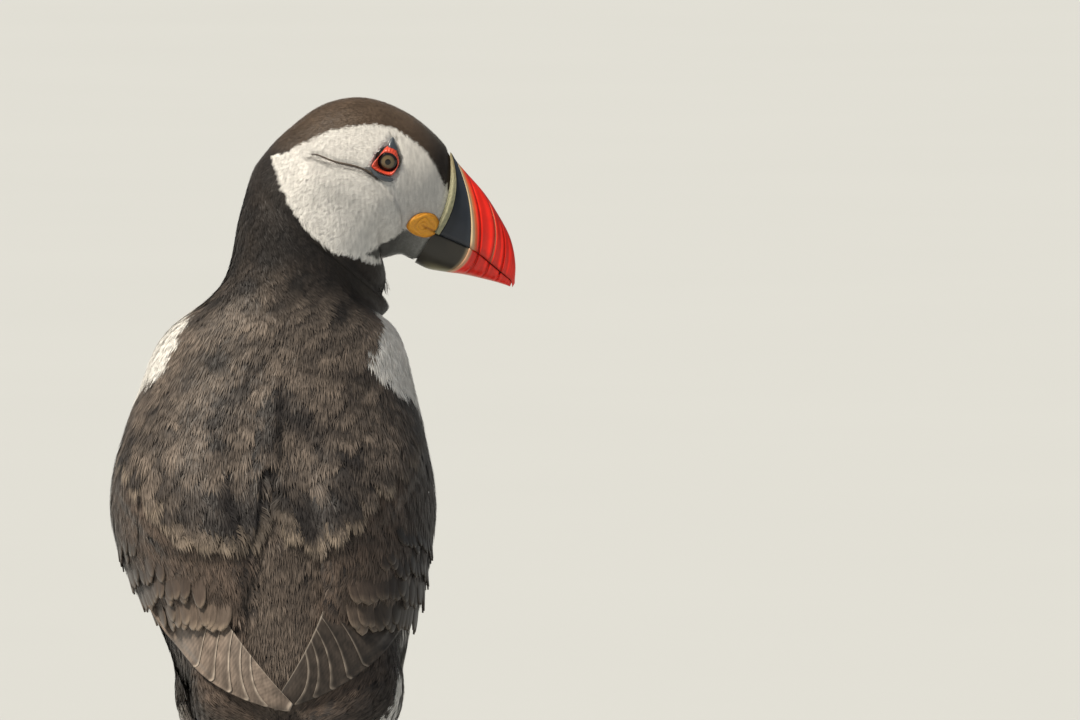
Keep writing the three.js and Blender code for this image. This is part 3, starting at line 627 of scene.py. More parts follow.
def arm_rise(place, angle):
    """How far the folded arms stand out, blurred more over the back and the shoulders."""
    arms = np.zeros(place.shape)
    for sense in (-1, 1):
        p, q = arm_share(place, sense * angle)
        on = between(p, 0, 1) & between(q, 0, 1)
        bulge = (1 - np.clip(2 * q - 1, -1, 1) ** 4) * (1 - np.clip(2 * p - 1, -1, 1) ** 4)
        arms = np.where(on, ARM_CLEAR + mix(ARM["edge"], ARM["thick"], bulge), arms)
    soften = smooth(4.4, 5.4, place) * (1 - smooth(50, 75, np.abs(angle)))
    rise = mix(blurred(arms, *BLUR["edge"]), blurred(arms, *BLUR["back"]), soften)
    return mix(rise, blurred(arms, *BLUR["shoulder"]), smooth(5.3, 6.4, place))


def cheek_rise(place, points):
    """The bulge of the cheeks below the crease that runs back from the eye."""
    f, l, u = head_coords(points)
    line = np.array(CREASE + CHEEK_FRONT)
    below = np.interp(f, line[:, 0], line[:, 1]) - u
    groove = CHEEK["groove"] * (band(below, 0, CHEEK["wide"]) * smooth(3, -2, f))
    bulge = CHEEK["bulge"] * smooth(-0.4, 2.6, below) * smooth(17, 4, below) * smooth(13, 9, f)
    beside = (place > 11.5) & (np.abs(l) > BESIDE)
    return np.where(beside, bulge - groove, 0) * smooth(-27, -20, f)


def raise_body():
    """Tables what lies on the trunk's smooth surface, with the scapular lobes and without them."""
    place, angle = body.place_grid, body.angle_grid
    plain = arm_rise(place, angle) + cheek_rise(place, body.points)
    plain += FLANK["deep"] * smooth(3.7, 2.5, place) * band(angle, FLANK["angle"], FLANK["wide"])
    low = int(6 / body.step)
    plain[:low] = np.maximum(plain[:low], thigh_rise(body.points[:low], body.normals[:low]))
    rise = above_lobes(body.points[..., 0], body.points[..., 2])
    lobe = np.where(behind_back(place, angle), LOBE_STEP * smooth(-0.4, 0.4, rise) * smooth(32, 5, rise), 0)
    return plain + lobe * smooth(78, 58, np.abs(angle)), plain


body.raised, UNDER_LOBES = raise_body()
body.shape_normals()


# ---------------------------------------------------------------- materials
def new_material(name):
    material = bpy.data.materials.new(name)
    material.use_nodes = True
    return material, material.node_tree


def set_inputs(tree, node, inputs):
    """Sets a node's inputs, each to a value or linked from another node's output."""
    for name, value in inputs.items():
        if isinstance(value, bpy.types.NodeSocket):
            tree.links.new(value, node.inputs[name])
        else:
            node.inputs[name].default_value = value


def add_node(tree, kind, output, settings, **inputs):
    """The output of a new node with its settings made and its inputs set."""
    node = tree.nodes.new("ShaderNode" + kind)
    for name, value in settings.items():
        setattr(node, name, value)
    set_inputs(tree, node, {name.replace("_", " "): value for name, value in inputs.items()})
    return node.outputs[output]


def ranged(tree, value, low, high, out_low, out_high):
    limits = {"From_Min": low, "From_Max": high, "To_Min": out_low, "To_Max": out_high}
    return add_node(tree, "MapRange", "Result", {}, Value=value, **limits)


def noise_at(tree, scale, stretch=None):
    """Noise over the object's own coordinates, in features per metre."""
    source = add_node(tree, "TexCoord", "Object", {})
    if stretch:
        source = add_node(tree, "Mapping", "Vector", {}, Vector=source, Scale=stretch)
    return add_node(tree, "TexNoise", "Fac", {}, Vector=source, Scale=scale, Detail=4.0)


def toned_material(name, grain, spread, roughness, bump=None, stretch=None, sheen=0, coat=0, specular=0.5):
    """A material whose colour is the mesh's tone, varied by noise of that grain and spread.

    bump is the strength and distance of the noise's relief, and stretch draws the noise out.
    """
    material, tree = new_material(name)
    tone = add_node(tree, "Attribute", "Color", {"attribute_name": "tone"})
    vary = noise_at(tree, grain, stretch)
    shade = ranged(tree, vary, 0.25, 0.75, 1 - spread, 1 + spread)
    blend = {"data_type": "RGBA", "blend_type": "MULTIPLY"}
    inputs = {
        "Base Color": add_node(tree, "Mix", "Result", blend, Factor=1.0, A=tone, B=shade),
        "Roughness": ranged(tree, vary, 0.3, 0.7, roughness - 0.07, roughness + 0.07),
        "Specular IOR Level": specular,
    }
    if sheen:
        inputs |= {"Sheen Weight": sheen, "Sheen Roughness": 0.5}
    if coat:
        inputs |= {"Coat Weight": coat, "Coat Roughness": 0.15}
    if bump:
        strength, distance = bump
        inputs["Normal"] = add_node(
            tree, "Bump", "Normal", {}, Strength=strength, Distance=distance, Height=vary
        )
    set_inputs(tree, tree.nodes["Principled BSDF"], inputs)
    return material


plume = toned_material("plumage", 1100, 0.2, 0.55, stretch=(1, 1, 0.3), sheen=0.10, specular=0.24)
skin_matter = toned_material("skin", 1400, 0.2, 0.8, bump=(0.4, 0.0004), specular=0.2)
vane_matter = toned_material(
    "flight_feathers", 1500, 0.28, 0.5, stretch=(1, 1, 0.12), sheen=0.08, specular=0.3
)
horn_matter = toned_material("bill_horn", 260, 0.1, 0.38, bump=(0.12, 0.0004), coat=0.12, specular=0.4)
cere_matter = toned_material("cere_skin", 1500, 0.14, 0.55, bump=(0.6, 0.0003))
leg_matter = toned_material("leg_skin", 800, 0.18, 0.45, bump=(0.45, 0.0003), coat=0.15)
bare_matter = toned_material("eye_ring_skin", 1800, 0.16, 0.4, bump=(0.5, 0.0002), coat=0.2)
claw_matter = toned_material("claw_horn", 500, 0.2, 0.35, bump=(0.2, 0.0002), coat=0.2)
eye_matter = toned_material("eyeball", 1500, 0.1, 0.1, coat=0.6, specular=0.15)


# ---------------------------------------------------------------- markings
def whiteness(place, angle, points):
    """1 where the plumage is white and 0 where it is dark."""
    f, l, u = head_coords(points)
    wander = cloud(points, 5.0, 2.0)
    left, right = (np.interp(place, BORDER_PLACES, border) for border in (BORDER_LEFT, BORDER_RIGHT))
    border = np.where(angle < 0, left, right)
    p, q = arm_share(place, np.abs(angle))
    folded = (p > -0.02) & (p < 1.06) & (q < 1.05)
    breast = (np.abs(angle) + 0.8 * wander > border) & (place < BREAST_TOP) & ~folded
    face = (place > HEAD_START) & inside(CHEEK_PATCH, f + 0.15 * wander, u + 0.2 * wander)
    return np.where(place < FACE_FROM, breast, face).astype(float)


def tones(place, angle, points, reach=0.0, under=False):
    """The colour of a feather's body and of its tip for feathers rooted at these places.

    reach is how far below its root the feather ends, and under is set for those that the lobes cover.
    """
    f, l, u = head_coords(points)
    x, z = points[:, 0], points[:, 2]
    broad, fine = cloud(points, 15.0, 1.0), cloud(points, 6.0, 5.0)
    worn = np.clip(0.45 + 0.34 * broad + 0.46 * fine, 0, 1)
    base, tip = tint(BLACK * 1.1, SOOT * 1.1, worn), tint(SOOT, ASH * 0.92, worn)
    # The scapular lobes end in pale fringes under a dark band.
    rise = above_lobes(x, z)
    back = behind_back(place, angle)
    on_lobe = back & (rise > 0) & (not under)
    ends = rise - reach
    fringe = on_lobe * band(ends, 0.6, 1.8) * smooth(2.5, 6.0, np.abs(x + 0.5))
    dusk = on_lobe * band(ends, 9.0, 6.5) * smooth(33, 22, np.abs(x - 1))
    tip = tint(tint(tip, BLACK * 1.2, 0.92 * dusk), FRINGE, 0.9 * fringe)
    base = tint(tint(base, BLACK, 0.8 * dusk), FRINGE * 0.6, 0.8 * fringe)
    # Below the lobes: rusty coverts beside the soft grey-brown rump.
    beneath = back & ((rise <= 0) | under)
    rust = RUST * (0.75 + 0.5 * worn)[:, None]
    rump = tint(BROWN, ASH, 0.15 + 0.45 * worn)
    tip = tint(tip, tint(rust, rump, smooth(15, 8, np.abs(x - 2.5))), beneath)
    base = tint(base, SOOT * 0.95, beneath)
    # The outer wing is nearly black with narrow paler edges; the right side darkens sooner with duller edges,
    # as painted shade.
    left = angle < 0
    start = np.where(left, 60, 42)
    flank = smooth(start, start + 24, np.abs(angle)) * (place < ARM_TOP)
    tip = tint(tip, tint(SOOT * 0.8, ASH, np.where(left, 0.3, 0.08) * worn), 0.85 * flank)
    # Collar and cap.
    tip = tint(tip, tint(SOOT * 0.5, BROWN * 0.34, worn), smooth(8.0, 9.8, place))
    cap = smooth(12.0, 13.6, place) * smooth(120, 70, np.abs(angle))
    front = smooth(17.0, 18.6, place)
    base = tint(base, CAP * 0.7, cap * (1 - front))
    tip = tint(tip, CAP * (0.9 + 0.6 * worn)[:, None], cap * (1 - 0.75 * front))
    # White parts, and the grey of the jaw.
    white = whiteness(place, angle, points)
    snow = SNOW * (0.98 + 0.03 * broad)[:, None]
    base, tip = tint(base, snow * [0.90, 0.90, 0.91], white), tint(tip, snow, white)
    jaw = (place > HEAD_START) & inside(JAW_PATCH, f, u + 0.6 * fine)
    chin = tint(JAW * 0.55, JAW * 1.5, smooth(10, 20, f))
    base, tip = tint(base, chin * 0.75, jaw), tint(tip, chin, jaw)
    # Painted shade along the crease behind the eye: the feathers there are darkened.
    crease = band(line_distance(CREASE, f, u), 0, 0.55) * (place > HEAD_START) * (np.abs(l) > BESIDE)
    crease = 0.85 * crease * smooth(2, -3, f)
    return tint(base, SOOT * 1.3, crease), tint(tip, SOOT * 1.6, crease)


# ---------------------------------------------------------------- skin
def coat_depth(place):
    """How far the skin lies under the coat's surface."""
    return np.interp(place, [0, 8, 10, 12, 16, 18.5, 19], [2.6, 2.6, 2.0, 1.3, 1.0, 0.7, 0.5])


def thigh_surface(side):
    """A thigh's surface over a place from 0 at the ankle to 1 at its top, and an angle from its back."""
    top = leg_point(side, THIGH_TOP)
    way = leg_point(side, LEG["ankle"]) - top
    down = unit(way)
    across = unit(RIGHTWARD - down * down[0])
    third = np.cross(down, across)

    def surface(place, angle):
        share = 1 - place[..., None]
        turn = np.radians(angle)[..., None]
        radius = np.interp(share, THIGH_STATIONS, THIGH_RADII)
        return top + way * share - radius * (across * np.sin(turn) + third * np.cos(turn))

    return surface


thighs = {}
for side_name, side in (("left", -1), ("right", 1)):
    thighs[side_name] = Hide(thigh_surface(side), 0.0, 1.0, 0.02, 4.0)
    thighs[side_name].shape_normals()


def remeshed(points, faces, voxel):
    """A closed mesh joined into one surface with even faces, as points and faces."""
    mesh = bpy.data.meshes.new("joining")
    mesh.from_pydata(points.tolist(), [], faces)
    joining = link_object("joining", mesh)
    remesh = joining.modifiers.new("voxels", "REMESH")
    remesh.mode = "VOXEL"
    remesh.voxel_size = voxel
    soften = joining.modifiers.new("soften", "SMOOTH")
    soften.factor, soften.iterations = 0.5, 4
    graph = bpy.context.evaluated_depsgraph_get()
    made = joining.evaluated_get(graph).to_mesh()
    found = np.zeros(len(made.vertices) * 3, np.float32)
    made.vertices.foreach_get("co", found)
    shapes = [list(p.vertices) for p in made.polygons]
    bpy.data.objects.remove(joining)
    return found.reshape(-1, 3), [np.array([s for s in shapes if len(s) == corners]) for corners in (4, 3)]


def build_skin():
    """One closed skin under the whole coat, coloured as the coat over it."""
    place, angle = np.meshgrid(
        np.linspace(0, LAST, SKIN["rings"]), np.arange(-180, 180, SKIN["turn"]), indexing="ij"
    )
    lift = body.read(body.raised, place, angle) - coat_depth(place)
    f, l, u = head_coords(body.at(place, angle, lift))
    socket = smooth(5.2, 3.6, np.hypot(f - EYE_HOLE["f"], u - EYE_HOLE["u"])) * (np.abs(l) > BESIDE)
    rings = body.at(place, angle, lift - SKIN["socket"] * socket)
    front = rings[-1]
    middle = front.mean(0)
    plug = [middle + (front - middle) * (1 - 0.05 * k) + HEAD_F * 0.8 * k for k in range(1, 5)]
    lofts = [np.concatenate([rings, plug])]
    for hide in thighs.values():
        share, turn = np.meshgrid(np.linspace(0, 1, 40), np.arange(-180, 180, 12.0), indexing="ij")
        lofts.append(hide.at(share, turn, np.full(share.shape, -SKIN["under_thigh"])))
    parts, faces, count = [], [], 0
    for loft in lofts:
        points, groups = closed_loft(loft[:, ::-1])
        parts.append(points)
        faces += [face for group in groups for face in (group + count).tolist()]
        count += len(points)
    joined, shapes = remeshed(np.concatenate(parts), faces, SKIN["voxel"])
    coarse = (slice(None, None, 2), slice(None, None, 3))
    tree = search_tree(body.points[coarse])
    nearest = [tree.find_nearest(Vector(p))[2] for p in joined.tolist()]
    row, column = np.divmod(nearest, body.points[coarse].shape[1] - 1)
    places, angles = (grid[coarse][row, column] for grid in (body.place_grid, body.angle_grid))
    base, tip = tones(places, angles, joined)
    replaced = ("trunk", "neck", "head", "thigh_left", "thigh_right", "wing_left", "wing_right")
    make_mesh("skin", joined, shapes, skin_matter, mix(base, tip, 0.6), replaced)


build_skin()


# ---------------------------------------------------------------- plumage
def feather_rows(hide, length_at, across, down, low, high):
    """Feather roots in staggered rows over a hide, as places, angles and lengths."""
    found = []
    place, row = low, 0
    ring = np.arange(-180.0, 180.0, 1.0)
    while place < high:
        here = np.full(ring.shape, place)
        ways = (hide.read(table, here, ring) for table in (hide.ahead, hide.round))
        ahead, turn = (np.linalg.norm(way, axis=-1) for way in ways)
        length = length_at(here, ring)
        total = np.concatenate([[0], np.cumsum(turn / (length * across))])
        count = max(3, int(total[-1]))
        marks = (np.arange(count) + 0.5 * (row % 2) + rng.uniform(-0.28, 0.28, count)) % count
        angles = np.interp(marks / count * total[-1], total, np.append(ring, 180.0))
        # Where the rings crowd together, an even share of the feathers is left out.
        step = np.quantile(length * down / ahead, 0.3)
        wanted = step * np.interp(angles, ring, ahead / (length * down))
        running = np.floor(rng.uniform() + np.cumsum(np.concatenate([[0], np.minimum(wanted, 1)])))
        angles = angles[np.diff(running) > 0]
        places = place + rng.uniform(-0.35, 0.35, len(angles)) * step
        found.append((places, angles, np.interp(angles, ring, length)))
        place += step
        row += 1
    return tuple(np.concatenate(part) for part in zip(*found))


def barb_plans(long, barbs, broad, width):
    """The corners of the barbs of feathers laid out flat, as how far across and down from the roots."""
    shape = (len(long), barbs)
    opening, stray = FAN["opening"], FAN["stray"]
    turn = np.radians(np.linspace(-opening, opening, barbs)[None] + rng.uniform(-stray, stray, shape))
    reach = long * rng.uniform(*FAN["lengths"], shape)
    tip_across = broad * reach * np.sin(turn)
    tip_down = reach * (0.55 + 0.45 * np.cos(turn))
    from_down = np.maximum(0, tip_down - long * (0.46 + 0.1 * np.abs(np.cos(turn))))
    mid_across, mid_down = tip_across * 0.78, mix(from_down, tip_down, 0.5)
    way_across, way_down = tip_across * 0.6, tip_down - from_down
    way = np.hypot(way_across, way_down)
    side_across, side_down = way_down / way, -way_across / way
    half = width * (long / FAN["size"]) ** 0.5 * rng.uniform(*FAN["widths"], shape)
    nowhere = 0 * tip_across
    corners = (
        (nowhere, from_down, -0.5), (nowhere, from_down, 0.5),
        (mid_across, mid_down, -1.0), (mid_across, mid_down, 1.0), (tip_across, tip_down, 0.0),
    )
    across = np.stack([a + side_across * half * w for a, b, w in corners], -1)
    down = np.stack([b + side_down * half * w for a, b, w in corners], -1)
    return across, down


def fans(hide, place, angle, length, base, tip, barbs, broad=0.36, end=0.25, swing=9, width=0.3, vary=0.2,
         table=None):
    """Contour feathers as fans of thin barbs that end on a rounded outline.

    end is how far the tips stand off and swing how many degrees the feathers stray. vary is each feather's
    spread of shades, and table what they lie on in place of all that is raised on the hide.
    Returns the barbs' points, tones, roots' places and shading normals, five points a barb.
    """
    table = hide.raised if table is None else table
    count = len(place)
    vary = np.broadcast_to(vary, count)[:, None, None]
    across, down = barb_plans(length[:, None], barbs, broad, width)
    lean = np.radians(rng.normal(0, swing, count))[:, None, None]
    across, down = across * np.cos(lean) + down * np.sin(lean), down * np.cos(lean) - across * np.sin(lean)
    place_step, angle_step = hide.steps(place, angle, across, down)
    places, angles = place[:, None, None] + place_step, angle[:, None, None] + angle_step
    long, size = length[:, None, None], FAN["size"]
    along_it = np.clip(down / long, 0, 1)
    ground = np.maximum(
        hide.read_kept(table, places, angles),
        hide.read(table, place, angle)[:, None, None] - 0.10 * np.maximum(down, 0),
    )
    ruffle = rng.normal(0, FAN["ruffle"], (count, 1, 1)) * long / size
    single = rng.normal(0, FAN["single"], (count, barbs, 1)) * long / size
    rise = mix(FAN["root"], end, along_it**0.8) * (long / size) ** 0.6
    points = hide.at(places, angles, ground + rise + (ruffle + single) * along_it)
    shade = 1 + FAN["shades"] * vary * rng.uniform(-1, 1, (count, barbs, 1))
    shade = shade + vary * rng.uniform(-FAN["shades"], FAN["shades"], (count, 1, 1))
    tone = tint(base[:, None, None], tip[:, None, None], smooth(0.25, 1.0, along_it)) * shade[..., None]
    roots = np.repeat(np.stack([place, angle], -1), barbs, axis=0)
    facing = unit(hide.read_kept(hide.coat_normals, places, angles))
    facing = unit(facing + rng.normal(0, 1, (count, barbs, 1, 3)) * (0.02 + 0.4 * vary)[..., None])
    return points.reshape(-1, 5, 3), tone.reshape(-1, 5, 3), roots, facing.reshape(-1, 5, 3)


def barb_pieces(name, barbs):
    """Mesh pieces of joined barbs, each under the limit of triangles, with their unwrap."""
    points, tone, roots, facing = (np.concatenate(part) for part in zip(*barbs))
    order = np.argsort(roots[:, 0], kind="stable")
    pieces = math.ceil(len(points) / MOST_BARBS)
    corners = np.array([[-1, -1], [1, -1], [-1, 0.3], [1, 0.3], [0, 1]]) * PATCH
    for k, share in enumerate(np.array_split(order, pieces)):
        at = roots[share]
        low, high = at.min(0), at.max(0)
        spot = (at - low) / np.maximum(high - low, 1e-6)
        spot = PATCH + spot[:, ::-1] * (1 - 2 * PATCH)
        patch = spot[:, None, :] + corners
        first = np.arange(len(share))[:, None] * 5
        faces = [first + [0, 2, 3, 1], first + [2, 4, 3]]
        label = name if pieces == 1 else f"{name}_{k + 1}"
        make_mesh(label, points[share], faces, plume, tone[share], patch=patch, normals=facing[share])


def coat_length(place, angle):
    """The length of the contour feathers."""
    stations = [0, 2, 4, 6, 7.6, 9, 10.5, 12, 14, 16, 18, 19]
    sizes = [8.5, 9.5, 10.5, 10, 8.6, 6.2, 4.8, 3.6, 2.8, 2.4, 1.9, 1.6]
    length = np.interp(place, stations, sizes)
    turn = np.abs(angle)
    white = smooth(80, 110, turn) * smooth(8.5, 7.5, place)
    throat = smooth(100, 130, turn) * smooth(8.6, 9.4, place) * smooth(12.4, 11.6, place)
    jaw = smooth(95, 120, turn) * smooth(11.4, 12.0, place) * smooth(17, 15.5, place)
    return length * (1 - 0.25 * white) * (1 - 0.45 * throat) * (1 - 0.3 * jaw)


def on_bare_skin(points):
    f, l, u = head_coords(points)
    return (np.abs(l) > 5) & (inside(EYE_ZONE, f, u) | inside(ROSETTE_ZONE, f, u))


def throat_tuft():
    """A few ruffled feathers that stand off the throat."""
    place, angle = np.linspace(12.1, 12.9, 7), np.array([172.0, 179, 168, 176, 184, 171, 178])
    soot = np.broadcast_to(SOOT, (len(place), 3))
    return fans(body, place, angle, np.full(len(place), 4.6), soot, soot * 1.3, 9, broad=0.2, end=3.4)


def cover_body():
    """The contour feathers of the whole body, sorted into pieces by region."""
    place, angle, length = feather_rows(body, coat_length, *BODY_GAPS, 0.15, LAST - 0.05)
    lift = body.read(body.raised, place, angle)
    points = body.at(place, angle, lift)
    place_step, angle_step = body.steps(place, angle, np.zeros((len(place), 1)), length[:, None])
    ends = body.at(place + place_step[:, 0], angle + angle_step[:, 0], 0 * place)
    bare = on_bare_skin(points) | (on_bare_skin(ends) & (place > 13))
    rise, reach = above_lobes(points[:, 0], points[:, 2]), points[:, 2] - ends[:, 2]
    back = behind_back(place, angle)
    on_top = ~bare & ~(back & ((rise < LOBE_CUT["root"]) | (rise - reach < LOBE_CUT["tip"])))
    beneath = ~bare & back & (rise < LOBE_CUT["under"])
    white = whiteness(place, angle, points) > 0.5
    on_arm = between(np.abs(angle), *WING_COAT["angles"]) & between(place, *WING_COAT["places"])
    on_arm &= lift > WING_COAT["raised"]
    rest = ~(on_arm | (place >= NECK_COAT))
    regions = {
        "coat_head": place >= HEAD_COAT,
        "coat_neck": (place >= NECK_COAT) & (place < HEAD_COAT),
        "coat_wing_left": on_arm & (angle < 0),
        "coat_wing_right": on_arm & (angle >= 0),
        "coat_breast": rest & white,
        "coat_mantle": rest & ~white,
    }
    vary = mix(np.where(place > HEAD_COAT, 0.13, 0.22), 0.045, white.astype(float))
    layers = ((True, beneath, UNDER_LOBES), (False, on_top, body.raised))
    for name, chosen in regions.items():
        barbs = []
        for under, layer, table in layers:
            for low, high, number, width in FAN_SIZES:
                some = chosen & layer & (length >= low) & (length < high)
                if not some.any():
                    continue
                base, tip = tones(place[some], angle[some], points[some], reach[some], under)
                args = (place[some], angle[some], length[some] * 1.06, base, tip, number)
                broad = 0.36 if high < 4 else 0.31
                barbs.append(fans(body, *args, broad, swing=3.5, width=width, vary=vary[some], table=table))
        if name == "coat_head":
            barbs.append(throat_tuft())
        barb_pieces(name, barbs)


def cover_thighs():
    """Short loose feathers over the feathered part of both legs."""
    for name, hide in thighs.items():
        place, angle, length = feather_rows(hide, lambda p, a: 3.6 + 1.8 * p, *THIGH_GAPS, 0.04, 0.72)
        points = hide.at(place, angle, 0 * place)
        pale = SNOW * 0.86 * (1 + 0.1 * cloud(points, 6.0, 9.0))[:, None]
        if name == "left":
            rear = smooth(5, -4, points[:, 1] + 2 * cloud(points, 5.0, 3.0)) * smooth(33, 40, points[:, 2])
            pale = tint(pale, BROWN, 0.8 * rear)
        barbs = fans(hide, place, angle, length, pale * 0.82, pale, 13, end=0.5, swing=10, width=0.25)
        barb_pieces("coat_thigh_" + name, [barbs])


cover_body()
cover_thighs()


# ---------------------------------------------------------------- flight feathers
def leaf_grid(columns, rows):
    """Shares across, from -1 to 1, and down, from 0 to 1, of a feather's vane."""
    return np.meshgrid(np.linspace(-1, 1, columns), np.linspace(0, 1, rows))


def tapered(down, start, power):
    """A vane's share of its full width, which rounds off to nothing from start to its end."""
    return np.sqrt(np.clip(1 - np.clip((down - start) / (1 - start), 0, 1) ** power, 0, 1))


def vane_tone(base, edge, across, down, seed):
    """Colours over a vane: a dark body, a fine shaft, slanting barbs and a pale worn edge."""
    barbs = np.sin((down * 46 - np.abs(across) * 9) * 2.0 + seed) + np.sin(down * 13 + across * 5 + seed)
    rim = smooth(0.78, 0.98, np.maximum(np.abs(across) * (0.55 + 0.45 * down), down))
    body_tone = base * (1 + 0.05 * barbs)[..., None]
    toned = tint(body_tone, edge * (1 + 0.04 * barbs)[..., None], 0.85 * rim)
    return tint(toned, base * 0.55, 0.6 * band(across, 0, 0.07) * (1 - down))


def vane_piece(name, vanes, replaced=()):
    """One mesh of several vanes; each is an outer and an inner grid of points and their colours."""
    points, colours, faces, patches, start = [], [], [], [], 0
    side = math.ceil(math.sqrt(len(vanes)))
    for k, (outer, inner, tone) in enumerate(vanes):
        rows, columns = outer.shape[:2]
        points += [outer.reshape(-1, 3), inner.reshape(-1, 3)]
        colours += [tone.reshape(-1, 3)] * 2
        faces.append(slab_faces(rows, columns, start))
        across, down = np.meshgrid(np.linspace(0.06, 0.44, columns), np.linspace(0.06, 0.94, rows))
        for shift in (0.0, 0.5):
            spot = np.stack([across + shift, down], -1).reshape(-1, 2)
            patches.append((spot + [k % side, k // side]) / side)
        start += 2 * rows * columns
    points, colours, faces, patches = (np.concatenate(a) for a in (points, colours, faces, patches))
    make_mesh(name, points, [faces], vane_matter, colours, replaced, patches)


def covert(place, angle, length, half, lean, base, edge):
    """A vane that lies on the body, half as wide as half says and leaning by so many degrees."""
    across_share, down_share = leaf_grid(9, 15)
    outline = tapered(down_share, 0.5, 2.1) * (0.55 + 0.45 * smooth(0, 0.4, down_share))
    across, down = across_share * half * np.maximum(outline, 0.02), down_share * length
    c, s = math.cos(math.radians(lean)), math.sin(math.radians(lean))
    across, down = across * c + down * s, down * c - across * s
    place, angle = np.array([place]), np.array([angle])
    place_step, angle_step = body.steps(place, angle, across[None], down[None])
    places, angles = place + place_step[0], angle + angle_step[0]
    ground = np.maximum(
        body.read_kept(body.raised, places, angles), body.read(body.raised, place, angle) - 0.06 * down
    )
    lift = ground + mix(-1.4, 0.8, down_share) - 0.10 * half * across_share**2
    worn = rng.uniform(0.8, 1.2)
    tone = vane_tone(base * worn, edge * worn, across_share, down_share, 0)
    return body.at(places, angles, lift), body.at(places, angles, lift - 0.25), tone


def wing_vanes():
    """Coverts and secondaries in rows over the lower part of each folded arm."""
    # Each row: share down the arm, how many, length, half width, colour of body and of edge.
    rows = [
        (0.90, 18, 17.0, 3.5, rgb(0.088, 0.065, 0.050), rgb(0.22, 0.17, 0.128)),
        (0.79, 20, 14.5, 3.1, rgb(0.064, 0.046, 0.036), rgb(0.155, 0.118, 0.088)),
        (0.68, 22, 12.5, 2.8, rgb(0.048, 0.035, 0.028), rgb(0.118, 0.088, 0.066)),
        (0.57, 24, 11.0, 2.6, rgb(0.038, 0.029, 0.023), rgb(0.085, 0.063, 0.048)),
    ]
    for name, sense in (("left", -1), ("right", 1)):
        made = []
        inmost, outmost, fade = COVERT_DIM_AND_SHADE[name]
        for down, count, length, half, base, edge in rows:
            for q in (np.arange(count) + 0.5) / count:
                p, inset = down + rng.uniform(-0.02, 0.02), 0.14 + 0.80 * q
                middle, wide = arm_span(p)
                angle = float(middle + wide * (2 * inset - 1))
                place = mix(ARM["from"], mix(*ARM["to"], inset), p)
                x, z = body_surface(np.array(place), np.array(sense * angle))[[0, 2]]
                if above_lobes(x, z) > -2 and angle < 75:
                    continue
                lean = sense * mix(9.0, -4.0, q) + rng.normal(0, 2.5)
                size = length * rng.uniform(0.88, 1.12), half * rng.uniform(0.9, 1.1)
                # dim: the outer coverts are darker, and the right wing's earlier, deeper darkening is painted
                # shade.
                dim = mix(inmost, outmost, smooth(*fade, q))
                made.append(covert(place, sense * angle, *size, lean, base * dim, edge * dim))
        vane_piece("coverts_" + name, made)


def back_at(tree, x, z):
    """The y of the coat's surface behind each place in a grid of x and z, read coarsely."""
    every = (slice(None, None, 8), slice(None, None, 6))
    found = np.full(x[every].shape, -20.0)
    for spot in np.ndindex(found.shape):
        hit = tree.ray_cast(Vector((x[every][spot], -200, z[every][spot])), Vector((0, 1, 0)))[0]
        if hit:
            found[spot] = min(hit.y, found[spot])
    for size, step in ((x.shape[1], 6), (x.shape[0], 8)):
        at = np.arange(size)
        found = np.array([np.interp(at, at[::step], line) for line in found]).T
    return found


def quadratic(ends, t):
    start, middle, end = (np.asarray(e, float) for e in ends)
    return tint(tint(start, middle, t), tint(middle, end, t), t)


def hand_vanes():
    """The primaries' tips over the rump, the shortest on top, each ending in a slanting pale edge."""
    across_share, down_share = leaf_grid(37, 81)
    b = (across_share + 1) / 2  # 0 on the outer edge, 1 on the inner
    tree = search_tree(body.coat()[::4, ::4])
    for name, shade in HAND_PAINTED_SHADE.items():
        hand = HAND[name]
        made = []
        for k, reach in enumerate(PRIMARY_ENDS):
            slant = PRIMARY_SLANT if reach < 1 else 0.0
            furthest = reach - slant * b**1.25 - 0.02 * (1 - np.sin(np.pi * np.clip(b * 4, 0, 0.5)))
            a = np.maximum(0.02, furthest) * down_share
            spot = tint(quadratic(hand["outer"], a), quadratic(hand["inner"], a), b)
            x, z = spot[..., 0], spot[..., 1]
            level = (len(PRIMARY_ENDS) - 1 - k) * SHEET_STEP["level"]
            crown = 0.45 * np.sin(np.pi * np.clip(b, 0, 1)) ** 0.7
            sunk = HAND_SUNK * smooth(0.24, 0.02, a)
            y = back_at(tree, x, z) - HAND_OFF - hand["lift"] * a - level - crown + sunk
            outer = np.stack([x, y, z], -1)
            barbs = np.sin(x * 5.2 - z * 3.4 + 1.3 * k) * 0.15
            worn = cloud(outer, 2.6, 9.0) * 0.3
            # shade darkens the right hand as painted shade; its pale worn edges are darkened less, a painted
            # highlight along them.
            tone = TIP_BODY * shade * (1 + barbs + worn)[..., None]
            # A painted shadow: a darker band just inside each pale end edge.
            painted_edge_shadow = smooth(0.86, 0.94, down_share) * smooth(0.985, 0.96, down_share)
            tone = tint(tone, TIP_BODY * 0.5 * shade, 0.6 * painted_edge_shadow)
            end_edge, side_edge = smooth(0.955, 0.99, down_share), smooth(0.955, 1.0, across_share)
            rim = end_edge * (0.62 + 1.2 * worn) + 0.6 * side_edge
            tone = tint(tone, TIP_EDGE * (0.4 + 0.6 * shade), np.clip(rim, 0, 1))
            made.append((outer, outer + [0, SHEET_STEP["thick"], 0], tone))
        vane_piece("primary_tips_" + name, made, ["primaries_" + name])


def tail_point(side, reach, lift):
    """A point of the tail: side from -1 to 1, reach from its root to its end, lift over its middle."""
    slope = math.radians(TAIL["slope"])
    down = np.array([0, -math.cos(slope), -math.sin(slope)])
    out = np.array([0, -math.sin(slope), math.cos(slope)])
    wide = mix(TAIL["root"], TAIL["end"], np.clip(reach, 0, 1) ** 0.8) / 2
    long = TAIL["long"] * reach * (1 - 0.12 * side * side)
    lift = lift - TAIL["arch"] * side * side
    return TAIL["at"] + down * long[..., None] + out * lift[..., None] + RIGHTWARD * (wide * side)[..., None]


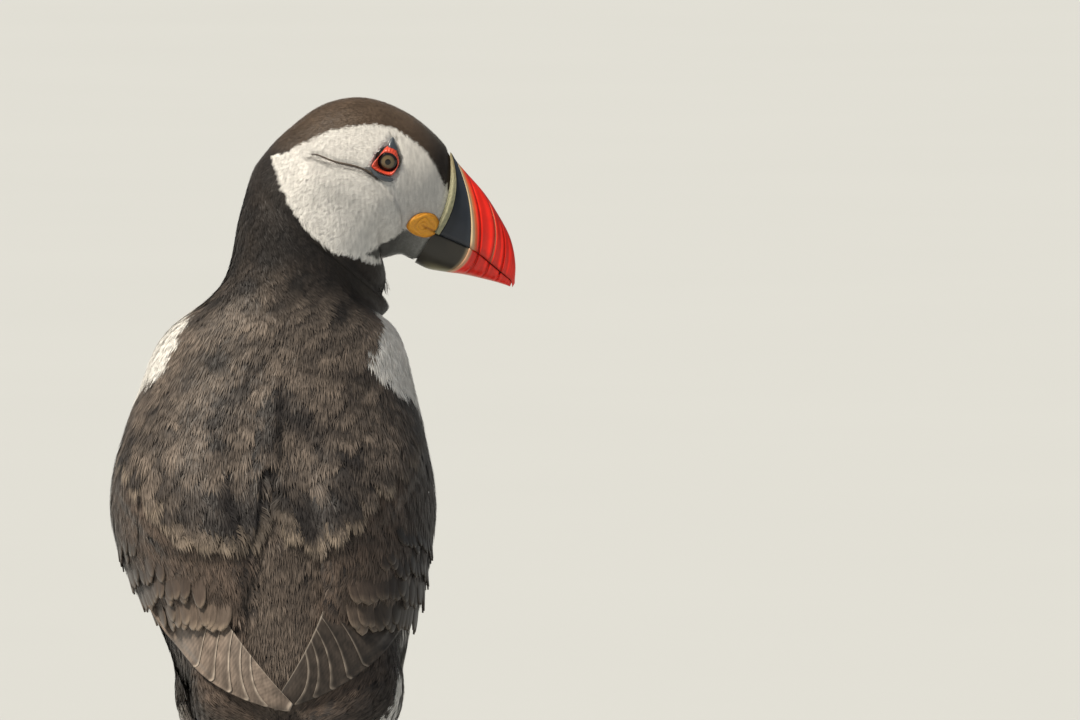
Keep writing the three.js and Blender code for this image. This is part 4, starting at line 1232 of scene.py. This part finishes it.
def tail_vanes():
    """Sixteen tail feathers, the middle pair on top, with coverts over and under their roots."""
    across_share, down_share = leaf_grid(9, 25)
    outline = np.maximum(tapered(down_share, 0.86, 2.4), 0.03)
    made = []
    for k in range(16):
        centre = (k - 7.5) / 8
        side = np.clip(centre * 0.93 + across_share * 0.105 * outline, -1, 1)
        reach = down_share * (1 + rng.uniform(-0.02, 0.0))
        lift = 0.6 * (1 - abs(centre)) - 0.15 * across_share**2 + 0.12 * across_share * np.sign(-centre)
        tone = vane_tone(SOOT * 0.9, BROWN * 1.1, across_share, down_share, k)
        made.append((tail_point(side, reach, lift + 0.2), tail_point(side, reach, lift - 0.25), tone))
    # Each kind of covert: over or under the tail, how many in a row, length, lift, colours.
    covers = ((1, 9, 0.40, 1.9, SOOT, ASH), (-1, 11, 0.62, -1.7, SNOW * 0.85, SNOW))
    for sense, count, reach_at, lift_at, base, edge in covers:
        for row in range(3):
            for k in range(count):
                centre = ((k + 0.5 * (row % 2) + 0.25) / count * 2 - 1) * 0.9
                side = np.clip(centre + across_share * 0.17 * outline, -1, 1)
                reach = 0.14 * row - 0.16 + down_share * reach_at * rng.uniform(0.85, 1.05)
                thin = 1 - 0.62 * np.clip(reach, 0, 1) ** 0.6
                over = 0.25 - 0.12 * across_share**2 - 0.25 * row + 0.3 * down_share
                lift = lift_at * thin + sense * over
                sheets = [tail_point(side, reach, lift + out * sense)[:, ::sense] for out in (0.12, -0.12)]
                made.append((*sheets, vane_tone(base, edge, across_share, down_share, k + row)))
    vane_piece("tail_feathers", made, ["tail"])


wing_vanes()
hand_vanes()
tail_vanes()


# ---------------------------------------------------------------- bill
def bill_surface(rows, place, h, sense, extra):
    """A mandible's side at a place along it, with h from 0 on the cutting edge to 1 on the ridge."""
    rf, ru, ef, eu, bow, half = np.moveaxis(along(rows, place), -1, 0)
    across = np.hypot(ef - rf, eu - ru)
    ahead_f, ahead_u = (ru - eu) / across, (ef - rf) / across
    swell = 4 * h * (1 - h) * bow * np.where(ahead_f < 0, -1, 1)
    wide = np.maximum(0, half + extra) * np.clip(1 - h**2.4, 0, 1) ** 0.62 + 0.25
    return head_point(mix(ef, rf, h) + ahead_f * swell, sense * wide, mix(eu, ru, h) + ahead_u * swell)


def bill_piece(name, rows, low, high, relief, colour, slot, material=horn_matter, steps=30, extra=0.0):
    """A closed piece of a mandible with relief and colour given over its place and height."""
    places = np.linspace(low, high, max(8, int((high - low) * 26)))
    heights = 1 - (1 - np.linspace(0, 1, steps)) ** 1.5
    place, h = np.meshgrid(places, heights, indexing="ij")
    sides = [bill_surface(rows, place, h, sense, extra + relief(place, h)) for sense in (-1, 1)]
    rings = np.concatenate([sides[0], sides[1][:, ::-1]], 1)
    tone = colour(place, h)
    tone = np.concatenate([tone, tone[:, ::-1]], 1)
    node = "cere" if slot == "cere" else "bill_" + name
    loft_piece(name, rings, tone, material, [node])


def horn_relief(place, h):
    grooves = sum(band(place, at, 0.095) for at in GROOVES)
    ribs = 0.24 * np.cos((place - 0.5) * 2 * np.pi) * smooth(2.4, 2.9, place) * smooth(6.2, 5.2, place)
    return (0.42 * band(place, 2.1, 0.12) - 0.8 * grooves - ribs) * (1 - 0.5 * smooth(0.8, 1.0, h))


def horn_colour(place, h):
    tone = HORN_RED * (0.92 + 0.06 * np.sin(place * 19 + h * 4))[..., None]
    tone = tint(tone, HORN_ORANGE, 0.9 * smooth(2.85, 2.38, place))
    tone = tint(tone, HORN_CREAM, smooth(2.44, 2.16, place))
    # Painted shade in the grooves: dark lines at places 3, 4 and 5; the pale line beside the groove at 4 is
    # partly the horn's own pale line and partly a painted highlight.
    tone = tint(tone, HORN_DARK_SHADE, 0.75 * band(place, 2.97, 0.06))
    tone = tint(tone, HORN_CREAM * 0.95, 0.75 * band(place, 4.02, 0.045) * smooth(0.95, 0.6, h))
    tone = tint(tone, HORN_DARK_SHADE, 0.5 * band(place, 3.93, 0.05))
    tone = tint(tone, HORN_DARK_SHADE * 1.4, 0.45 * band(place, 5.0, 0.05))
    # Darker towards the cutting edge: painted shade.
    return tint(tone, HORN_DARK_SHADE * 0.8, 0.55 * smooth(0.10, 0.0, h))


def lower_horn_colour(place, h):
    # The lower horn's red is a darker copy of the upper's, as painted shade, with painted shade in its
    # grooves.
    tone = HORN_RED * 0.86 * (0.95 + 0.08 * np.sin(place * 17))[..., None]
    tone = tint(tone, HORN_CREAM * 0.8, 0.8 * smooth(2.35, 2.12, place))
    tone = tint(tone, HORN_DARK_SHADE, 0.6 * band(place, 3.0, 0.06) + 0.4 * band(place, 4.0, 0.05))
    return tint(tone, HORN_ORANGE * 0.7, 0.5 * smooth(0.8, 1.0, h))


def plate_relief(place, h):
    return -0.10 * band(place, 1.5, 0.3) * np.sin(np.pi * h)


def plate_colour(place, h):
    return tint(SLATE, SLATE_PALE, 0.6 * smooth(0.35, 1.0, h) + 0.3 * band(place, 1.9, 0.1))


def lower_plate_colour(place, h):
    keel = 0.75 * smooth(0.72, 0.98, h) * smooth(0.2, 1.4, place)
    tone = tint(SLATE_BROWN * (0.8 + 0.3 * h)[..., None], KEEL_OLIVE, keel)
    return tint(tone, HORN_CREAM * 0.7, 0.7 * smooth(1.82, 2.0, place))


def warts(place, h):
    return np.sin(h * 70 + 3 * np.sin(place * 20)) * np.sin(place * 37 + h * 12)


def cere_relief(place, h):
    return 0.10 * warts(place, h) + 0.35 * band(place, 0.62, 0.25)


def cere_colour(place, h):
    tone = tint(CERE, CERE_TAN, 0.9 * smooth(0.6, 0.95, h))
    return tone * (0.56 + 0.06 * warts(place, h))[..., None] * [0.95, 1.0, 0.90]


def mouth_shade_sheet():
    """A dark sheet of painted shade inside the closed mouth, between the cutting edges."""
    upper, lower = along(UPPER, np.linspace(0, 7.3, 40)), along(LOWER, np.linspace(0, 6.3, 40))
    f, u = (upper[:, 2] + lower[:, 0]) / 2, (upper[:, 3] + lower[:, 1]) / 2
    half, high = lower[:, 5] * 0.86, np.linspace(1.6, 0.45, 40)
    corners = ((-1, 1), (1, 1), (1, -1), (-1, -1))
    rings = np.stack([head_point(f, half * across, u + high * rise) for across, rise in corners], 1)
    loft_piece("mouth_shade_sheet", rings, np.broadcast_to(SOOT * 0.5, rings.shape), skin_matter)


def build_bill():
    raises = [0.42] * (len(LOWER) - 2) + [0.6, 0.95]
    keel_first = [
        [kf, ku, ef, eu + more, bow, half] for (ef, eu, kf, ku, bow, half), more in zip(LOWER, raises)
    ]
    last, lower_last = len(UPPER) - 1, len(LOWER) - 1
    mouth_shade_sheet()
    bill_piece("cere_band", UPPER, 0.0, 0.98, cere_relief, cere_colour, "cere", cere_matter, 60, CERE_EXTRA)
    bill_piece("upper_plate", UPPER, 1.0, 2.0, plate_relief, plate_colour, "slate")
    bill_piece("upper_horn", UPPER, 2.0, last, horn_relief, horn_colour, "red_horn")
    bill_piece("lower_plate", keel_first, -0.3, 2.0, plate_relief, lower_plate_colour, "slate")
    bill_piece("lower_horn", keel_first, 2.0, lower_last, horn_relief, lower_horn_colour, "red_horn")


build_bill()


# ---------------------------------------------------------------- eyes and bare skin of the face
def face_points():
    """Points of the right side of the face, as f, how far they stand from the middle plane, and u."""
    f, l, u = head_coords(body.coat()[470::3, 181:345:2].reshape(-1, 3))
    return f, np.abs(l), u


FACE_F, FACE_L, FACE_U = face_points()


def cheek_l(f, u):
    """How far the face stands from the head's middle plane at f and u, averaged over what is near."""
    found = np.empty(f.shape)
    for spot in np.ndindex(f.shape):
        near = (FACE_F - f[spot]) ** 2 + (FACE_U - u[spot]) ** 2
        weight = np.exp(-near / 0.6)
        total = weight.sum()
        found[spot] = (weight * FACE_L).sum() / total if total > 1e-6 else FACE_L[near.argmin()]
    return found


def closed_curve(outline, count):
    """Evenly numbered points on a smooth closed curve through an outline."""
    rows = np.array(outline, float)
    rows = np.concatenate([rows[-2:], rows, rows[:3]])
    return along(rows, np.linspace(2, len(outline) + 2, count, endpoint=False))


def pad(name, outline, rise, sense, colour, material, node, rings=14, wrinkle=None):
    """A horny or fleshy cushion on the face over a smooth outline in f and u."""
    curve = closed_curve(outline, 72)
    centre = curve.mean(0)
    share = np.linspace(0, 1, rings)[:, None]
    spots = centre + (curve - centre) * share[..., None]
    f, u = spots[..., 0], spots[..., 1]
    dome = rise * np.sqrt(np.clip(1 - share**3.0, 0, 1)) + 0 * f
    if wrinkle:
        dome = dome + wrinkle(f, u, share)
    level = cheek_l(f, u)
    top, bottom = (head_point(f, sense * (level + high), u)[:, ::sense] for high in (dome, -1.2))
    tone = colour(f, u, share + 0 * f)[:, ::sense]
    rows, tones_here = np.concatenate([top, bottom[::-1]]), np.concatenate([tone, tone[::-1]])
    loft_piece(name, rows, tones_here, material, [node])


def eye_ring(name, sense, node):
    """The ring of bare skin: a rounded lip between the eye's opening and the feathers."""
    outer = closed_curve(RING_OUTLINE, 96)
    middle = np.array([EYE_HOLE["f"], EYE_HOLE["u"]])
    bearing = np.arctan2(outer[:, 1] - middle[1], outer[:, 0] - middle[0])
    hole = middle + np.stack([EYE_HOLE["wide"] * np.cos(bearing), EYE_HOLE["high"] * np.sin(bearing)], -1)
    share = np.linspace(0, 1, 12)[:, None]
    spots = hole + (outer - hole) * share[..., None]
    f, u = spots[..., 0], spots[..., 1]
    off = np.hypot(hole[:, 0] - EYE["f"], hole[:, 1] - EYE["u"])
    ball = np.sqrt(np.maximum(EYE["radius"] ** 2 - off**2, 0.5)) + EYE["l"] - 0.35
    level = mix(ball, cheek_l(outer[:, 0], outer[:, 1]) - 0.3, share)
    beads = 0.10 * np.sin(bearing * 26)
    lip = 0.95 * np.sin(np.pi * np.clip(share * 0.9 + 0.1, 0, 1)) ** 0.7 + beads * np.sin(np.pi * share)
    top, under = (head_point(f, sense * (level + high), u) for high in (lip, -0.8))
    rows = np.concatenate([top, under[::-1], top[:1]])[:, ::-sense]
    # Lighter along the lip's crest and darker towards its inner and outer edge: painted light on the rounded
    # lip.
    red = RING_RED * (0.85 + 0.25 * np.sin(np.pi * share) + beads)[..., None]
    tone = np.concatenate([red, red[::-1], red[:1]])
    make_mesh(name, rows, [grid_faces(*rows.shape[:2], wrap=True)], bare_matter, tone, [node])


def eyeball(name, sense, node):
    """The eye: a dark ball with a brown iris sunk round a black pupil, under a clear coat."""
    polar = np.radians(np.concatenate([np.linspace(0.5, 44, 60), np.linspace(48, 179, 24)]))
    turn = np.linspace(0, 2 * np.pi, 96, endpoint=False)
    a, b = np.meshgrid(polar, turn, indexing="ij")
    off = EYE["radius"] * np.sin(a)
    f, u = EYE["f"] + off * np.cos(b), EYE["u"] + off * np.sin(b)
    l = EYE["l"] + EYE["radius"] * np.cos(a)
    iris_off = np.hypot(f - 0.3, u + 0.5)
    streak = 0.5 + 0.5 * np.sin(b * 37 + 2 * np.sin(b * 11))
    tone = IRIS * ((0.75 + 0.35 * streak) * (1 - 0.4 * smooth(1.5, 2.15, iris_off)))[..., None]
    # The dark ring round the iris: the eye's own dark rim, and painted shade of the lids over it.
    tone = tint(tone, EYE_DARK_AND_LID_SHADE, smooth(2.05, 2.25, iris_off))
    tone = tint(tone, PUPIL, smooth(1.0, 0.88, iris_off))
    tone = np.where((np.cos(a) > 0)[..., None], tone, EYE_BACK)
    rings = head_point(f, sense * l, u)
    loft_piece(name, rings[:, ::-sense], tone[:, ::-sense], eye_matter, [node])


def crease_shade_strip(name, sense):
    """A thin dark strip of painted shade in the furrow that runs back from the eye."""
    steps = 70
    share = np.linspace(0, 1, steps)
    line = along(CREASE[:6], 5 * share)
    way = unit(np.gradient(line, axis=0))
    across = np.stack([-way[:, 1], way[:, 0]], -1)
    half = 0.29 * np.sin(np.pi * share) ** 0.6 * (0.7 + 0.4 * share)
    spread = np.array([-1, -0.4, 0.4, 1]) * sense
    spots = line[:, None] + (across * half[:, None])[:, None] * spread[:, None]
    f, u = spots[..., 0], spots[..., 1]
    sheets = [head_point(f, sense * (cheek_l(f, u) + high), u) for high in (0.26, -0.4)]
    tone = np.broadcast_to(BROWN * 0.8, (2 * f.size, 3))
    make_mesh(name, np.concatenate(sheets), [slab_faces(steps, 4)], skin_matter, tone)


def rosette_slit(f, u, width):
    """The line between the rosette's two lips."""
    return band(u + 16.2 + 0.12 * (f - 18), 0, width) * smooth(16.5, 19, f)


def rosette_waves(f, share):
    return np.sin(share * 19 + 1.4 * np.sin(f * 1.7))


def gold(f, u, share):
    # Darker in the troughs of the folds and along the slit between the lips: painted shade in the sunk parts.
    deep = 0.15 - 0.15 * rosette_waves(f, share) + 0.35 * smooth(0.7, 1.0, share)
    tone = tint(ROSETTE_GOLD, ROSETTE_DEEP, deep)
    return tint(tone, ROSETTE_DEEP * 0.5, 0.7 * rosette_slit(f, u, 0.45))


def folds(f, u, share):
    return 0.16 * rosette_waves(f, share) * smooth(0, 0.3, share) - 0.5 * rosette_slit(f, u, 0.5)


def blue(f, u, share):
    return PLATE_BLUE * (0.8 + 0.5 * share)[..., None]


def build_face():
    for name, sense in (("left", 1), ("right", -1)):
        eyeball("eyeball_" + name, sense, "eye_" + name)
        # a dark strip of painted shade in each cheek's furrow
        crease_shade_strip("cheek_furrow_shade_" + name, sense)
        eye_ring("eye_ring_" + name, sense, "eye_rim_" + name)
        for where, outline, rise in (("upper", UPPER_PLATE, 1.1), ("lower", LOWER_PLATE, 0.9)):
            node = f"eye_plate_{where}_{name}"
            pad(f"{where}_eye_plate_{name}", outline, rise, sense, blue, claw_matter, node)
        node = "gape_rosette_" + name
        pad("rosette_" + name, ROSETTE, 1.7, sense, gold, cere_matter, node, 26, folds)


build_face()


# ---------------------------------------------------------------- legs and feet
def foot_point(side, angle, reach, z):
    way = np.radians(side * (angle + LEG["splay"]))
    joint = leg_point(side, LEG["toes"])
    x, y = joint[0] + reach * np.sin(way), joint[1] + reach * np.cos(way)
    return np.stack(np.broadcast_arrays(x, y, z), -1)


def tube(points, radii, sides, relief=None):
    """Rings round a line of points, with relief given over the share along and the angle round."""
    way = unit(np.gradient(points, axis=0))
    across = unit(RIGHTWARD - way * way[:, :1])
    third = np.cross(way, across)
    turn = np.linspace(0, 2 * np.pi, sides, endpoint=False)
    share = np.linspace(0, 1, len(points))[:, None]
    out = radii[:, None] + (relief(share, turn[None]) if relief else 0)
    out_across, out_third = (out * np.cos(turn))[..., None], (out * np.sin(turn))[..., None]
    return points[:, None] + out_across * across[:, None] + out_third * third[:, None]


def scutes(share, turn):
    """Ring-like scales across the front of the shank and a net of small ones behind."""
    rows = np.abs(np.sin(share * SCUTE_TURNS + 0.3 * np.cos(turn)))
    net = np.sin(share * 95) * np.sin(turn * 7)
    front = smooth(-0.2, 0.5, np.sin(turn))
    return 0.16 * rows**0.5 * front + 0.10 * net * (1 - front) - 0.08


def shank_piece(name, side):
    ankle, joint = leg_point(side, LEG["ankle"]), leg_point(side, LEG["toes"])
    share = np.linspace(-0.12, 1.14, 100)
    stations = [-0.12, 0, 0.25, 0.6, 0.9, 1, 1.06, 1.1, 1.13, 1.14]
    swells = [1.2, 1.25, 1.05, 1, 1.12, 1.28, 1.2, 0.9, 0.45, 0.1]
    radii = np.interp(share, stations, swells) * SHANK_RADIUS * 0.97
    rings = tube(ankle + (joint - ankle) * share[:, None], radii, 40, scutes)
    rows = np.broadcast_to(np.abs(np.sin(share * SCUTE_TURNS))[:, None], rings.shape[:2])
    tone = tint(LEG_DARK, LEG_ORANGE, 0.35 + 0.65 * rows)
    points, faces = closed_loft(rings[:, ::-1])
    tone = np.concatenate([tone.reshape(-1, 3), [LEG_ORANGE] * 2])
    make_mesh("leg_" + name, points, faces, leg_matter, tone, ["shank_" + name])


def foot_piece(name, side):
    """The webbed foot: toes as rounded ridges with cross scales, webs sunk between them."""
    columns, rows = 121, 90
    s, t = np.meshgrid(np.linspace(0, 1, columns), np.linspace(0, 1, rows))
    toe_angles, lengths = np.array(list(TOES.values()), float).T
    angle = mix(toe_angles[0] - 3.5, toe_angles[-1] + 3.5, s)
    k = (angle >= 0).astype(int)
    share = np.clip((angle - toe_angles[k]) / (toe_angles[k + 1] - toe_angles[k]), 0, 1)
    far = mix(lengths[k], lengths[k + 1], share) * (1 - FOOT["scallop"] * np.sin(np.pi * share))
    reach = mix(-FOOT["heel"], far, t)
    middle = foot_point(side, np.where(reach < 0, 0, angle), reach, 0.0)
    splay = math.radians(side * LEG["splay"])
    rounded = np.sqrt(1 - np.clip(-reach / FOOT["heel"], 0, 0.995) ** 2.5)
    offset = np.where(reach < 6, (2 * s - 1) * 3.4 * (1 - np.maximum(0, reach) / 6), 0) * mix(0.3, 1, rounded)
    middle += side * offset[..., None] * [math.cos(splay), -math.sin(splay), 0]
    away = np.radians(angle - toe_angles[:, None, None]) * np.maximum(reach, 0)
    on_toe = band(away, 0, FOOT["toeWide"]).max(0)
    high = FOOT["toeHigh"] * (1 - 0.35 * t) * on_toe
    scales = np.abs(np.sin(reach * 1.9)) ** 0.5
    creases = np.sin(reach * 2.7 + angle * 0.35) * np.sin(angle * 0.8)
    scaly = smooth(0.4, 0.8, on_toe)
    top = middle.copy()
    top[..., 2] = np.maximum(FOOT["web"] + 0.05 * creases, high + 0.16 * (scales - 0.6) * scaly)
    top[..., 2] = np.maximum(top[..., 2] * rounded, 0.4)
    tone = tint(tint(WEB_RED, LEG_ORANGE, smooth(0.3, 0.8, on_toe)), LEG_DARK, 0.55 * (1 - scales) * scaly)
    points, tone = np.array([top, middle])[:, :, ::-side], np.array([tone, tone])[:, :, ::-side]
    faces = [slab_faces(rows, columns)]
    make_mesh("webbed_foot_" + name, points, faces, leg_matter, tone, ["foot_" + name])


def claw_piece(name, side, angle, reach):
    share = np.linspace(0, 1, 18)
    radii = CLAW["radius"] * (1 - share) + 0.22
    z = np.maximum(radii, 2.1 - CLAW["drop"] * share**2)
    line = foot_point(side, angle, reach - 0.6 + (CLAW["long"] + 0.6) * share, z)
    rings = tube(line, radii, 20)[:, ::-1]
    tone = np.broadcast_to(CLAW_BLACK, rings.shape)
    loft_piece("nail_" + name, rings, tone, claw_matter, ["claw_" + name])


for side_name, side in (("left", -1), ("right", 1)):
    shank_piece(side_name, side)
    foot_piece(side_name, side)
    for toe_name, (toe_angle, toe_length) in TOES.items():
        claw_piece(f"{toe_name}_{side_name}", side, toe_angle, toe_length)


# ---------------------------------------------------------------- stage, lights, camera
def floor_material():
    """A pale matt material with broad, faint patches."""
    material, tree = new_material("floor")
    ramp = tree.nodes.new("ShaderNodeValToRGB")
    ramp.color_ramp.elements[0].color = (*[c * 0.97 for c in FLOOR], 1)
    ramp.color_ramp.elements[1].color = (*FLOOR, 1)
    set_inputs(tree, ramp, {"Fac": noise_at(tree, 3.0)})
    inputs = {"Base Color": ramp.outputs["Color"], "Roughness": 0.9}
    set_inputs(tree, tree.nodes["Principled BSDF"], inputs)
    return material


def build_stage():
    """A plain pale floor."""
    reach = 14.0
    corners = [(-reach, -reach, 0), (reach, -reach, 0), (reach, reach, 0), (-reach, reach, 0)]
    mesh = bpy.data.meshes.new("floor")
    mesh.from_pydata(corners, [], [(0, 1, 2, 3)])
    mesh.materials.append(floor_material())
    floor = link_object("floor", mesh)


def turn_from(placed, towards):
    """Turns a light or a camera so that it looks away from a direction."""
    placed.rotation_mode = "QUATERNION"
    placed.rotation_quaternion = (-Vector(towards)).to_track_quat("-Z", "Y")


def sun_light(name, towards, spread, strength, colour):
    """A broad even light that comes from a direction."""
    light = bpy.data.lights.new(name, "SUN")
    light.angle, light.energy, light.color = math.radians(spread), strength, colour
    lamp = link_object(name, light)
    turn_from(lamp, towards)
    lamp.location = Vector(towards) * 3


def build_lights():
    sun_light("key", (-0.50, -0.30, 0.81), 14, 5.3, (1.0, 0.92, 0.79))
    sun_light("fill", (0.55, -0.70, 0.45), 60, 0.10, (0.66, 0.82, 1.0))
    world = bpy.data.worlds.new("studio")
    bpy.context.scene.world = world
    world.use_nodes = True
    sky = {"Color": (0.86, 0.92, 1.0, 1), "Strength": 0.19}
    set_inputs(world.node_tree, world.node_tree.nodes["Background"], sky)


def build_camera():
    """The photograph's view: a long lens, level with the back, from behind and a little above."""
    data = bpy.data.cameras.new("camera")
    data.lens, data.sensor_width = CAMERA["lens"], CAMERA["sensor"]
    data.clip_start, data.clip_end = CAMERA["clip"]
    camera = link_object("camera", data)
    aim = (CAMERA["aim"] + SHIFT) * 0.001
    tilt = math.radians(CAMERA["tilt"])
    back = np.array([0, -math.cos(tilt), math.sin(tilt)])
    camera.location = aim + back * CAMERA["distance"]
    turn_from(camera, back)
    bpy.context.scene.camera = camera


build_stage()
build_lights()
build_camera()
bpy.context.scene.view_settings.view_transform = "Standard"
